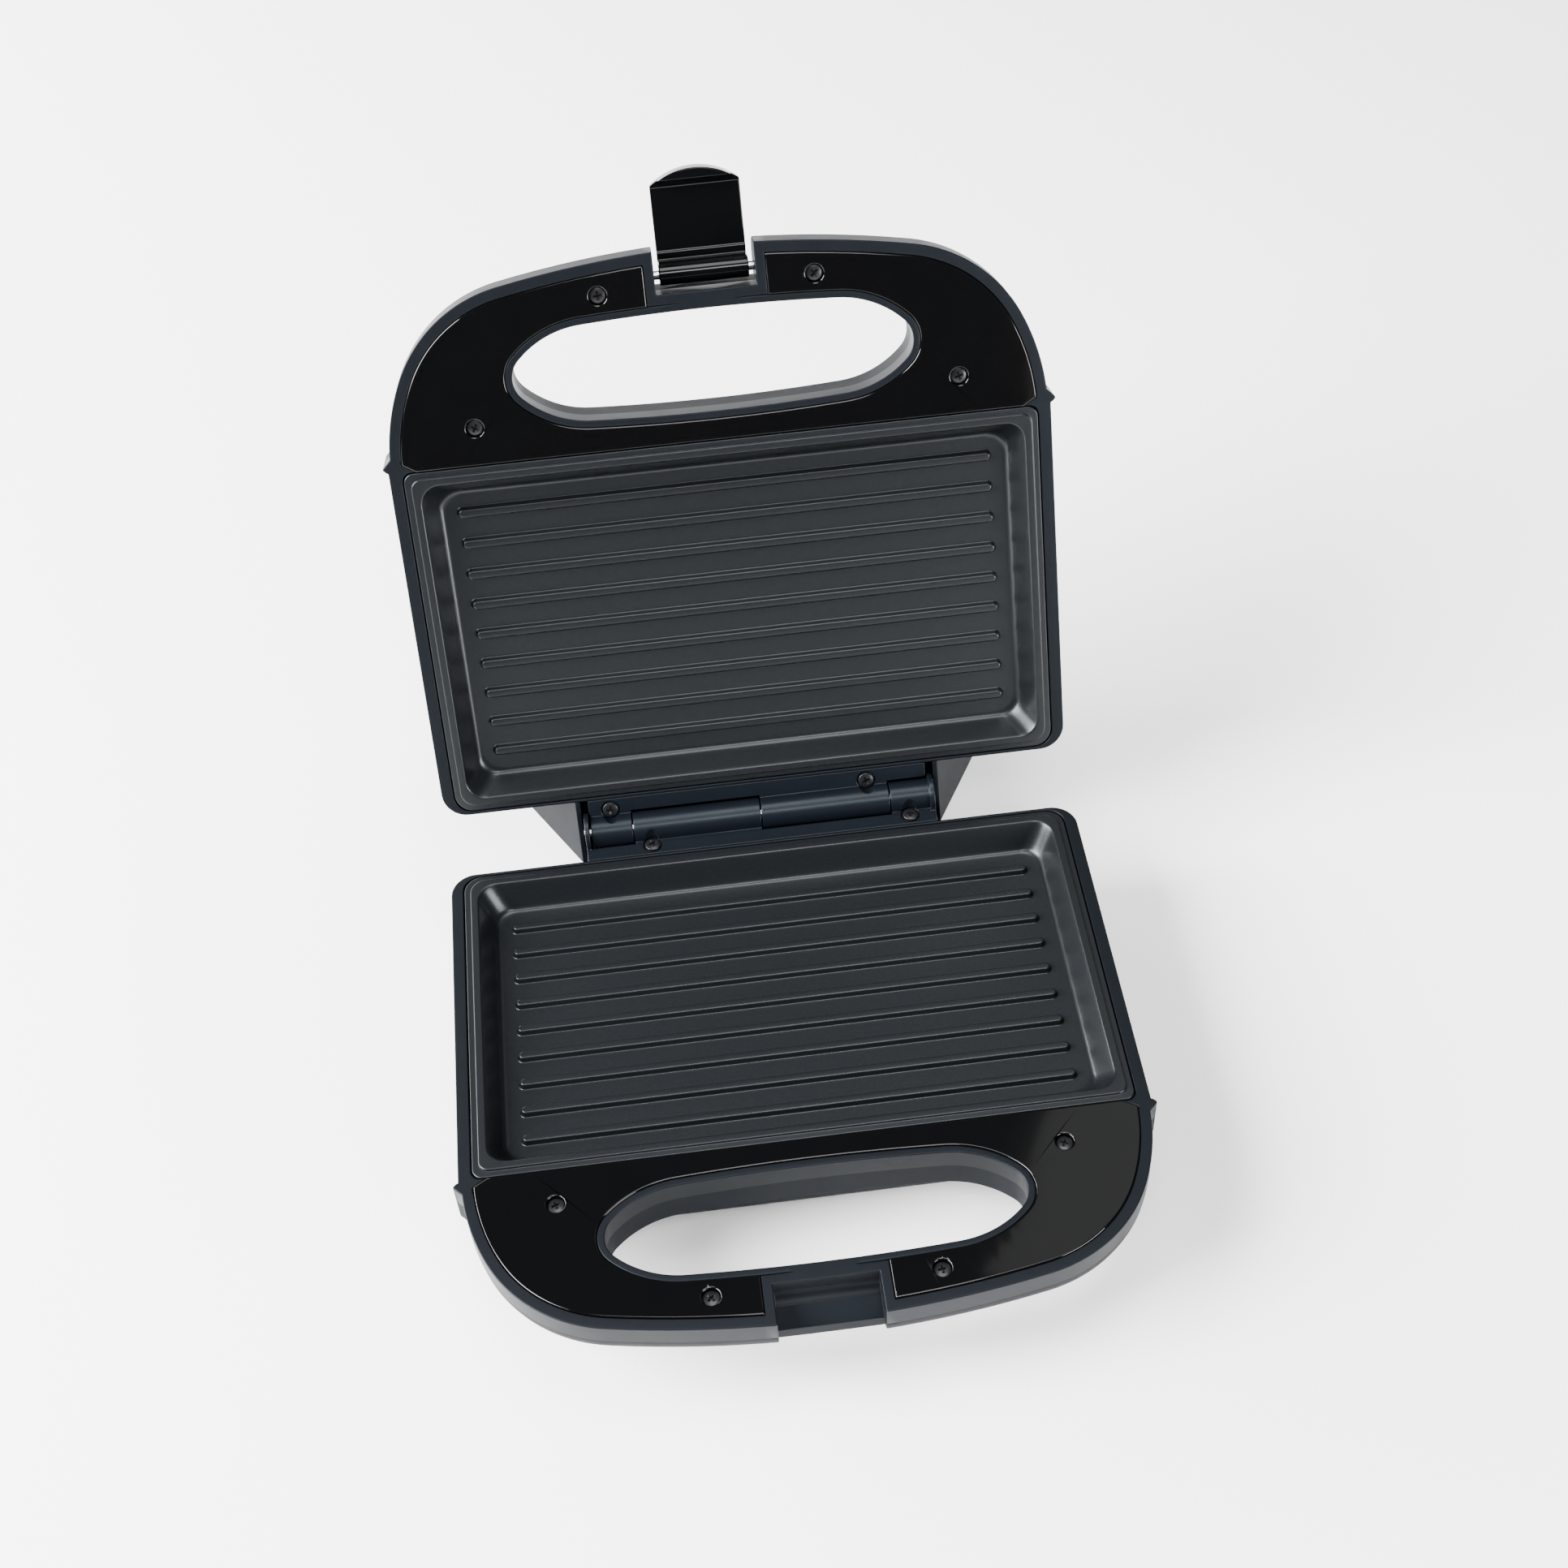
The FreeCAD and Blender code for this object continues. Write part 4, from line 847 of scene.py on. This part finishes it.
@dataclass(frozen=True)
class Housing:
    """Casing and bezel of one half: one moulding's form, split at the parting line."""

    half: Half
    tray: Tray = Tray()
    grip: Grip = Grip()
    notch: Notch = Notch()
    panel: TrimPanel = TrimPanel()
    parting: float = -8.0
    ear: tuple[float, float, float, float] = (116.5, 143.3, 149.5, 17.0)
    ear_root: float = 6.0
    ear_foot: float = 4.4
    ear_play: float = 0.5
    ear_flat: float = 2.2
    ear_round: float = 0.8
    ledge: Pair = (-2.3, -5.0)
    seat: RoundedRectangle = RoundedRectangle(110.4, 13.6, 142.9, 6.5, 3.5)
    opening: RoundedRectangle = RoundedRectangle(105.9, 18.1, 138.4, 7.0, 7.0)
    neck_half: float = 64.6
    neck_back: float = 12.0
    neck_inner: float = -24.4
    slope_low: float = -14.6
    slope_top: Pair = (-6.6, -11.3)
    shelf: Pair = (-3.5, -8.5)
    shelf_half: float = 62.4
    shelf_along: Pair = (-14.9, -6.6)
    hood_rim: Triple = (67.0, 20.4, 12.5)
    hood_foot: Triple = (86.0, 24.4, 4.5)
    hood_hollow: Pair = (12.4, 15.19)
    hood_wall: float = 1.8
    gland: Pair = (6.5, -27.0)
    foot_peg: float = 3.0
    lens: Triple = (4.0, 9.0, 128.0)

    def _ears(self) -> list[Builder]:
        """Small upright ribs on the side walls, where the tray meets the handle."""
        tip, start, end, deep = self.ear
        root, foot, edge = tip - self.ear_root, tip - self.ear_foot, tip - self.ear_play
        plan = trace([(root, -start), (root, -end), (foot, -end), (edge, -start - self.ear_flat),
                      (edge, -start - self.ear_round, self.ear_round),
                      (edge - self.ear_round, -start)], 6)
        ears = []
        for side in (-1, 1):
            points = [Vector((point.x * side, point.y)) for point in plan]
            ears.append(Builder().closed([(points, -deep), (points, 0.0)]))
        return ears

    def _neck(self, inset: float, top: float) -> Builder:
        """Foot of the base under the hinge, with the slope on which the opened lid rests."""
        low, back, inner = inset - self.tray.deep, self.neck_back - inset, self.neck_inner
        near, crest = (value - inset for value in self.slope_top)
        return side_form([(inner, low), (back, low), (back, self.slope_low - inset),
                          (near, crest), (near, top), (inner, top)], self.neck_half - inset)

    def _hood(self, inset: float) -> Builder:
        """Flared cover of the lid behind the hinge; an inset gives the hollow inside it."""
        rings = []
        for (half, front, rear), hollow, level in zip(
                (self.hood_rim, self.hood_foot), self.hood_hollow, (0.0, inset - self.tray.deep)):
            wide, back, reach = half - inset, rear - inset, hollow if inset else front
            rings.append((trace([(-wide, -reach), (wide, -reach), (wide, back), (-wide, back)]),
                          level))
        return Builder().closed(rings)

    def _shell(self) -> Shape:
        """The whole moulding, before it is split."""
        wall, base = self.tray.wall, self.half is Half.BASE
        outer = Shape(self.tray.form(0.0, 0.0), f"{self.half.value}_shell")
        outer.join(self.grip.form(0.0, 0.0)).cut(self.notch.form(self.half, 0.0))
        outer.join(*self._ears())
        outer.join(self._neck(0.0, self.shelf[0]) if base else self._hood(0.0))
        hollow = Shape(self.tray.form(wall, self.ledge[1]))
        grip_hollow = Shape(self.grip.form(wall, -self.panel.deep - wall))
        hollow.join(grip_hollow.cut(self.notch.form(self.half, wall)))
        outer.cut(hollow)
        outer.cut(self._neck(wall, self.shelf[1]) if base else self._hood(self.hood_wall))
        if not base:
            outer.join(box((-self.shelf_half, self.shelf_half), self.shelf_along,
                           (self.shelf[1], self.shelf[0])))
        seat = [(0.0, self.ledge[0]), (0.0, 2.0)]
        opening = [(0.0, self.ledge[1] - 1), (0.0, 1.0)]
        outer.cut(Builder().solid(self.seat, seat), Builder().solid(self.opening, opening),
                  self.panel.form(self.panel.fit, 1.0))
        return outer.cut(*self._bores())

    def _bores(self) -> list[Builder]:
        """Holes for the feet and the cord's bush in the base, and for the lenses in the lid."""
        low, wall = -self.tray.deep - 1, self.tray.wall
        if self.half is Half.BASE:
            radius, level = self.gland
            bush = Builder(ENDWAYS).rod(radius, self.neck_back - wall - 2, self.neck_back + 2, 0.0,
                                        (0.0, level))
            return [bush] + [Builder().rod(self.foot_peg, low, low + wall + 2, 0.0, spot)
                             for spot in Feet().spots()]
        radius, across, along = self.lens
        return [Builder().rod(radius, low, low + wall + 2, 0.0, (across * side, -along))
                for side in (-1, 1)]

    def build(self) -> tuple[bpy.types.Object, bpy.types.Object]:
        """Make the casing and the bezel."""
        casing = self._shell()
        bezel = casing.copy()
        room = ((-SIDE_REACH, SIDE_REACH), (-FRONT_REACH, -self.tray.back), (self.parting, 5.0))
        bezel.keep(box(*room))
        casing.cut(box(*room))
        name, place = self.half.value, half_place(self.half)
        return (casing.finish(f"{name}_body", place, SHELL, edge=0.35, seam=self.parting),
                bezel.finish(f"{name}_frame", place, HOUSING, edge=0.4, seam=self.parting))


# ---- screws, feet and small parts ----

@dataclass(frozen=True)
class CrossScrew:
    """Cross-recess screw head on its shank."""

    head: float = 2.8
    tall: float = 1.5
    shank: float = 1.45
    long: float = 11.0
    dome: float = 0.35
    face_share: float = 0.38
    dished: float = 0.06
    arm: float = 1.55
    arm_half: float = 0.36
    recess: tuple[Triple, ...] = (
        (0.98, 1.0, 0.0), (0.86, 0.9, 0.25), (0.35, 0.6, 1.1))

    def _cross(self, spot: Vector, turn: float, arm: float, half: float) -> list[Vector]:
        """Plus-shaped outline about a spot, turned by an angle."""
        quarter = [(arm, -half), (arm, half), (half, half)]
        points = []
        for step in range(4):
            swing = Matrix.Rotation(turn + math.pi / 2 * step, 2)
            points.extend(spot + swing @ Vector(point) for point in quarter)
        return points

    def add(self, builder: Builder, spot: Pair, seat: float, turn: float) -> None:
        """Add one screw.

        Args:
            builder: Where its solids go.
            spot: Its place in the half's plan.
            seat: Height under the head.
            turn: How far the recess is turned, in radians.
        """
        centre = Vector(spot)
        disc = Disc(self.head, spot, 48)
        profile = wall(seat, seat + self.tall - self.dome, 0.1, 0.3)
        level = seat + self.tall - self.dished
        low, high = builder.profile(disc, profile + [(self.head * self.face_share, level)])
        mouth, floor = builder.sweep([
            (self._cross(centre, turn, self.arm * long, self.arm_half * wide), level - deep)
            for long, wide, deep in self.recess])
        builder.cap(high, mouth)
        builder.cap(floor)
        builder.cap(low)
        builder.rod(self.shank, seat - self.long, seat + 0.2, 0.2, spot, 24)


@dataclass(frozen=True)
class TrimScrews:
    """Four screws that hold the glossy panel of one handle."""

    wide: Pair = (83.3, -155.9)
    narrow: Pair = (36.5, -196.3)
    seat: float = -2.0
    turns: tuple[float, ...] = (0.3, 1.1, 0.75, 0.1)
    screw: CrossScrew = CrossScrew()

    def spots(self) -> list[Pair]:
        """Places of the four screws in the half's plan."""
        return [(across * side, along) for across, along in (self.wide, self.narrow)
                for side in (-1, 1)]

    def build(self, half: Half) -> bpy.types.Object:
        """Make the four screws."""
        builder = Builder()
        for spot, turn in zip(self.spots(), self.turns):
            self.screw.add(builder, spot, self.seat, turn)
        return small_piece(builder, f"{half.value}_panel_screws", half, BLACK_SCREW)


@dataclass(frozen=True)
class HingeScrews:
    """Two screws that hold each hinge bracket."""

    seat: float = -0.6
    screw: CrossScrew = CrossScrew(long=6.6)

    def build(self, half: Half) -> bpy.types.Object:
        """Make the two screws."""
        builder, line = Builder(), HingeLine()
        for number, across in enumerate(line.screws[half]):
            self.screw.add(builder, (across, -line.screw_back), self.seat, 0.4 + number)
        return small_piece(builder, f"{half.value}_hinge_bolts", half, BLACK_SCREW)


@dataclass(frozen=True)
class Feet:
    """Four rubber feet under the base, each with a peg through the casing."""

    radius: float = 8.0
    tall: float = 7.0
    peg: float = 3.0
    top: float = -38.0
    front: Pair = (88.0, -128.0)
    rear: Pair = (50.0, -1.0)
    sole: tuple[Pair, ...] = (
        (4.6, 0.8), (4.2, 0.1), (3.9, 0.0), (1.5, 0.0), (0.9, 0.3), (0.0, 1.6))
    peg_end: tuple[Pair, ...] = ((0.0, 0.0), (0.0, 3.3), (0.3, 3.5))

    def spots(self) -> list[Pair]:
        """Places of the feet in the base's plan."""
        return [(across * side, along) for across, along in (self.front, self.rear)
                for side in (-1, 1)]

    def build(self) -> bpy.types.Object:
        """Make the feet."""
        builder, radius, low = Builder(), self.radius, self.top - self.tall
        profile = [(inset, low + rise) for inset, rise in self.sole] + [(0.0, self.top)]
        profile += [(radius - self.peg + inset, self.top + rise) for inset, rise in self.peg_end]
        for spot in self.spots():
            builder.solid(Disc(radius, spot, 48), profile)
        return small_piece(builder, "rubber_feet", Half.BASE, RUBBER)


@dataclass(frozen=True)
class CordBush:
    """Rubber bush for the cord in the back of the base."""

    radius: float = 6.5
    bore: float = 3.6
    collar: float = 8.5
    level: float = -27.0
    back: float = 12.0
    inside: float = 4.0
    collar_thick: float = 1.8

    def build(self) -> bpy.types.Object:
        """Make the bush with its collar and bore."""
        outer = self.collar - self.radius
        start, face = self.back - self.inside, self.back + self.collar_thick
        profile = [(outer, start), (outer, self.back), (0.0, self.back)]
        profile += rounding(0.0, face, 0.7, True)
        centre = (0.0, self.level)
        bore = [(0.0, start), (0.0, face - 0.4), (-0.4, face)]
        builder = Builder(ENDWAYS).pierced([(Disc(self.collar, centre, 48), profile),
                                            (Disc(self.bore, centre, 48), bore)])
        return small_piece(builder, "cord_bush", Half.BASE, RUBBER)


@dataclass(frozen=True)
class Lens:
    """Indicator lens in the back of the lid, with a domed face."""

    name: str
    across: float
    finish: Finish
    along: float = -128.0
    radius: float = 4.0
    low: float = -39.0
    top: float = -34.5
    dome: tuple[Pair, ...] = (
        (2.6, 0.0), (1.4, 0.12), (0.5, 0.4), (0.12, 0.75), (0.0, 1.1))

    def build(self) -> bpy.types.Object:
        """Make the lens."""
        profile = [(inset, self.low + rise) for inset, rise in self.dome]
        profile += rounding(0.0, self.top, 0.3, True)
        builder = Builder().solid(Disc(self.radius, (self.across, self.along), 48), profile)
        return small_piece(builder, self.name, Half.LID, self.finish)


# ---- grill plate ----

@dataclass(frozen=True)
class GrillPlate:
    """Cast plate: stepped rim, sloping well and a row of ridges."""

    half: Half
    wide: float = 110.0
    near: float = 14.0
    far: float = 142.5
    back_radius: float = 6.5
    front_radius: float = 3.5
    proud: float = 0.85
    step: float = 2.2
    rim: float = 2.8
    under: float = 2.2
    slope: float = 5.0
    deep: float = 9.3
    well_radius: float = 7.0
    pan: float = 2.0
    ridge_first: float = 33.16
    ridge_pitch: float = 11.36
    ridge_count: int = 9
    ridge_half: float = 94.2
    ridge_width: float = 3.8
    ridge_tall: float = 2.0
    under_steps: tuple[Pair, ...] = ((-0.6, 0.0), (-1.8, 1.0))
    lip_curve: tuple[Pair, ...] = ((0.0, 0.0), (0.28, 0.05), (0.5, 0.2), (0.68, 0.45))
    fall_curve: tuple[Pair, ...] = (
        (0.12, 0.0), (0.3, 0.0), (0.5, 0.0), (0.7, 0.0), (0.86, 0.05), (0.93, 0.22),
        (0.975, 0.62), (0.995, 1.15))
    ridge_foot: tuple[Pair, ...] = (
        (-0.35, -0.4), (-0.35, -0.02), (-0.12, 0.07), (0.02, 0.25), (0.16, 0.65))
    ridge_crown: tuple[Pair, ...] = (
        (0.40, -0.5), (0.52, -0.24), (0.70, -0.08), (0.94, 0.0))
    stud: Pair = (4.0, -20.2)
    stud_spots: tuple[Pair, ...] = ((66, -46), (-66, -46), (66, -112), (-66, -112))

    def _ring(self, inset: float, level: float, radii: Pair | None = None) -> Ring:
        """Outline of the plate drawn in by inset, with corner radii of its own."""
        back, front = radii or (self.back_radius, self.front_radius)
        return RoundedRectangle(self.wide - inset, self.near + inset, self.far - inset, back,
                                front).at(0), level

    def _dish(self) -> Builder:
        """Flange, rim, well and underside as one closed solid."""
        rim_in, floor, well = self.step + self.rim, -self.deep, (self.well_radius,) * 2
        rings = [self._ring(rim_in + self.slope + inset, floor - self.pan + rise, well)
                 for inset, rise in self.under_steps]
        rings += [self._ring(rim_in - 0.6, -self.under, well), self._ring(0.3, -self.under),
                  self._ring(0, 0.3 - self.under)]
        rings += [self._ring(*point) for point in rounding(0.0, 0.0, 0.35, True, 3)]
        step = (self.back_radius - 1, self.front_radius)
        rings += [self._ring(inset, level, step) for inset, level in
                  [(self.step - 0.25, 0.0), (self.step - 0.06, 0.08)]
                  + rounding(self.step, self.proud, 0.4, True, 4)]
        lip, fall = rim_in - 0.55, self.proud + self.deep
        rings += [self._ring(lip + inset, self.proud - drop, well)
                  for inset, drop in self.lip_curve]
        rings += [self._ring(rim_in + self.slope * share + sag, self.proud - fall * share, well)
                  for share, sag in self.fall_curve]
        rings.append(self._ring(rim_in + self.slope + 1.8, floor, well))
        return Builder().closed(rings)

    def build(self) -> bpy.types.Object:
        """Make the plate with its ridges and studs."""
        builder = self._dish()
        half_wide, floor = self.ridge_width / 2, -self.deep
        top = floor + self.ridge_tall
        profile = [(inset, floor + rise) for inset, rise in self.ridge_foot]
        profile += [(inset, top + rise) for inset, rise in self.ridge_crown]
        for number in range(self.ridge_count):
            line = -self.ridge_first - self.ridge_pitch * number
            stadium = RoundedRectangle(self.ridge_half, -line - half_wide, -line + half_wide,
                                       half_wide - 1e-3, half_wide - 1e-3, 0.2, 10)
            builder.solid(stadium, profile)
        radius, low = self.stud
        for spot in self.stud_spots:
            builder.rod(radius, low, floor - self.pan + 0.4, 0.3, spot, 32)
        return small_piece(builder, f"{self.half.value}_grill", self.half, NONSTICK, 50.0)


# ---- latch ----

@dataclass(frozen=True)
class Latch:
    """Swinging catch: a roll on the pin, a flat plate with two steps, and a bowed hooked lip."""

    back: float = 199.0
    low: float = 10.0
    half: float = 15.2
    roll: float = 3.6
    pin: float = 1.58
    offset: float = 5.75
    thick: float = 2.4
    reach: float = 34.0
    steps: tuple[Pair, ...] = ((2.6, 0.0), (3.0, 0.35), (6.4, 0.35), (6.8, 0.6))
    lip: float = 3.6
    lip_rise: float = 4.2
    lip_slope: Pair = (2.6, 1.8)
    bow: float = 5.5

    def build(self) -> bpy.types.Object:
        """Make the latch."""
        top = -self.low - self.offset
        low, tip = top - self.thick, -self.back - self.reach
        inner = tip + self.lip
        rear, front = self.roll - self.back, -self.roll - self.back
        run, rise = self.lip_slope
        side = [(front, -self.low), (front, top)]
        side += [(front - along, top - drop) for along, drop in self.steps]
        side += [(inner + run, top - self.steps[-1][1]), (inner, top + rise),
                 (inner, top + self.lip_rise), (tip, top + self.lip_rise), (tip, low), (rear, low),
                 (rear, -self.low)]
        shape = Shape(side_form(side, self.half))
        radius = self.half ** 2 / (self.bow * 2) + self.bow / 2
        plan = trace([(-self.half, 10 - self.back), (-self.half, tip + self.bow),
                      (self.half, tip + self.bow, radius), (self.half, 10 - self.back)], 24)
        centre = (-self.back, -self.low)
        shape.keep(Builder().closed([(plan, -60.0), (plan, 60.0)]))
        shape.join(Builder(SIDEWAYS).rod(self.roll, -self.half, self.half, 0.0, centre))
        shape.cut(Builder(SIDEWAYS).rod(self.pin, -self.half - 2, self.half + 2, 0.0, centre))
        return shape.finish("catch", half_place(Half.LID), LATCH, edge=0.45, segments=4)


# ---- studio ----

@dataclass(frozen=True)
class SoftBox:
    """One soft area light, aimed at a point."""

    name: str
    spot: Triple
    aim: Triple
    size: Pair
    power: float
    colour: Triple = (1.0, 1.0, 1.0)

    def build(self) -> None:
        """Add the light to the scene."""
        data = bpy.data.lights.new(self.name, "AREA")
        data.shape = "RECTANGLE"
        data.size, data.size_y = self.size
        data.energy, data.color = self.power, self.colour
        light = bpy.data.objects.new(self.name, data)
        light.location = self.spot
        toward = Vector(self.aim) - Vector(self.spot)
        light.rotation_euler = toward.to_track_quat("-Z", "Y").to_euler()
        bpy.context.scene.collection.objects.link(light)


@dataclass(frozen=True)
class Studio:
    """Pale floor, even surroundings, soft boxes and the camera."""

    floor_size: float = 14.0
    floor_colour: Triple = (0.95, 0.95, 0.95)
    floor_roughness: float = 0.9
    floor_specular: float = 0.1
    sky: Triple = (0.85, 0.93, 1.0)
    sky_strength: float = 0.16
    lens_mm: float = 52.36
    sensor_mm: float = 36.0
    camera_spot: Triple = (-0.02609, -0.50665, 0.67955)
    camera_right: Triple = (0.99245, -0.11405, -0.04522)
    camera_up: Triple = (0.1149, 0.7352, 0.6680)
    boxes: tuple[SoftBox, ...] = (
        SoftBox("key_box", (-1.6, -0.3, 1.3), (0.0, 0.0, 0.05), (1.3, 1.3), 290.0),
        SoftBox("low_box", (-1.6, 0.6, 0.4), (0.0, 0.0, 0.05), (1.0, 0.6), 70.0),
        SoftBox("right_box", (1.3, -1.2, 0.4), (0.0, 0.0, 0.05), (0.9, 0.6), 62.0),
        SoftBox("top_box", (0.1, 0.15, 2.1), (0.0, 0.0, 0.05), (0.9, 0.9), 35.0),
        SoftBox("front_box", (0.15, -1.1, 1.75), (0.0, 0.05, 0.1), (0.7, 0.35), 24.0),
        SoftBox("rear_box", (-0.9, 1.5, 0.7), (0.0, 0.0, 0.1), (1.2, 0.7), 26.0),
        SoftBox("right_card", (0.78, 0.95, 1.7), (0.09, -0.12, 0.05), (0.8, 0.8), 2.5),
        SoftBox("warm_card", (0.95, -2.1, 0.5), (0.05, 0.1, 0.2), (0.9, 0.5), 1.0,
                (1.0, 0.86, 0.74)))

    def floor(self) -> bpy.types.Object:
        """Make the floor."""
        mesh = bmesh.new()
        bmesh.ops.create_grid(mesh, x_segments=1, y_segments=1, size=self.floor_size / 2)
        data = bpy.data.meshes.new("floor")
        mesh.to_mesh(data)
        mesh.free()
        paint = bpy.data.materials.new("floor_paper")
        paint.use_nodes = True
        set_inputs(paint.node_tree.nodes["Principled BSDF"], {
            "Base Color": (*self.floor_colour, 1.0), "Roughness": self.floor_roughness,
            "Specular IOR Level": self.floor_specular})
        data.materials.append(paint)
        floor = bpy.data.objects.new("floor", data)
        bpy.context.scene.collection.objects.link(floor)
        return floor

    def camera(self) -> None:
        """Add the camera and make it the scene's."""
        data = bpy.data.cameras.new("camera")
        data.lens, data.sensor_width = self.lens_mm, self.sensor_mm
        camera = bpy.data.objects.new("camera", data)
        right, up = Vector(self.camera_right).normalized(), Vector(self.camera_up).normalized()
        back = right.cross(up).normalized()
        up = back.cross(right)
        turn = Matrix((right, up, back)).transposed().to_4x4()
        camera.matrix_world = Matrix.Translation(Vector(self.camera_spot)) @ turn
        bpy.context.scene.collection.objects.link(camera)
        bpy.context.scene.camera = camera

    def build(self) -> None:
        """Set up the whole studio."""
        self.floor()
        world = bpy.data.worlds.new("studio")
        world.use_nodes = True
        set_inputs(world.node_tree.nodes["Background"],
                   {"Color": (*self.sky, 1.0), "Strength": self.sky_strength})
        bpy.context.scene.world = world
        for light in self.boxes:
            light.build()
        self.camera()


# ---- assembly ----

@dataclass(frozen=True)
class Dressing:
    """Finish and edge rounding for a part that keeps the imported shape."""

    node: str
    finish: Finish
    edge: float = 0.0

    def apply(self) -> None:
        """Dress the node."""
        piece = bpy.data.objects[self.node]
        piece.data.materials.clear()
        piece.data.materials.append(self.finish.material())
        if self.edge:
            bevel = piece.modifiers.new("edges", "BEVEL")
            bevel.width, bevel.segments = self.edge * MM, 2
            bevel.limit_method, bevel.angle_limit = "ANGLE", math.radians(40)
            bevel.use_clamp_overlap = False


class PaniniPress:
    """The whole press: two halves, the hinge between them and the latch."""

    def __init__(self) -> None:
        """Start with no pieces gathered yet."""
        self.pieces: dict[str, bpy.types.Object] = {}

    def _take(self, piece: bpy.types.Object, body: str, *nodes: str) -> None:
        """Hand a piece to the frame: which body it rides on and which nodes it stands for."""
        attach(piece, body)
        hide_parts(*nodes)
        self.pieces[piece.name] = piece
        LOG.info("%s: %d faces", piece.name, len(piece.data.polygons))

    def half(self, half: Half) -> None:
        """Build one half's own pieces."""
        body = half.value
        casing, bezel = Housing(half).build()
        for piece, node in ((casing, "casing"), (bezel, "bezel"),
                            (TrimPanel().build(half), "trim"),
                            (TrimScrews().build(half), "trim_screws"),
                            (HingeBracket(half).build(), "hinge_bracket"),
                            (HingeScrews().build(half), "hinge_screws"),
                            (GrillPlate(half).build(), "grill_plate")):
            self._take(piece, body, f"{body}_{node}")
        for name, finish in (("heater", SHEATH), ("heat_shield", SHIELD), ("plate_screws", ZINC),
                             ("shield_screws", ZINC), ("thermostat", CERAMIC),
                             ("thermal_fuse", PIN_STEEL)):
            Dressing(f"{body}_{name}", finish).apply()

    def small_parts(self) -> None:
        """Build the pieces that only one half has."""
        self._take(Feet().build(), "base", "feet")
        self._take(CordBush().build(), "base", "cord_gland")
        self._take(Lens("green_window", -9.0, READY).build(), "lid", "ready_lens")
        self._take(Lens("red_window", 9.0, POWER).build(), "lid", "power_lens")
        self._take(Latch().build(), "latch", "latch")
        for node, finish in (("hinge_pin", PIN_STEEL), ("terminal_block", TERMINAL),
                             ("base_leads", SLEEVING), ("lid_lamps", LAMP),
                             ("latch_pin", PIN_STEEL)):
            Dressing(node, finish).apply()


def main() -> None:
    """Build the press, then the studio round it."""
    logging.basicConfig(level=logging.INFO, format="%(message)s")
    press = PaniniPress()
    for half in Half:
        press.half(half)
    press.small_parts()
    Studio().build()


if __name__ == "__main__":
    main()
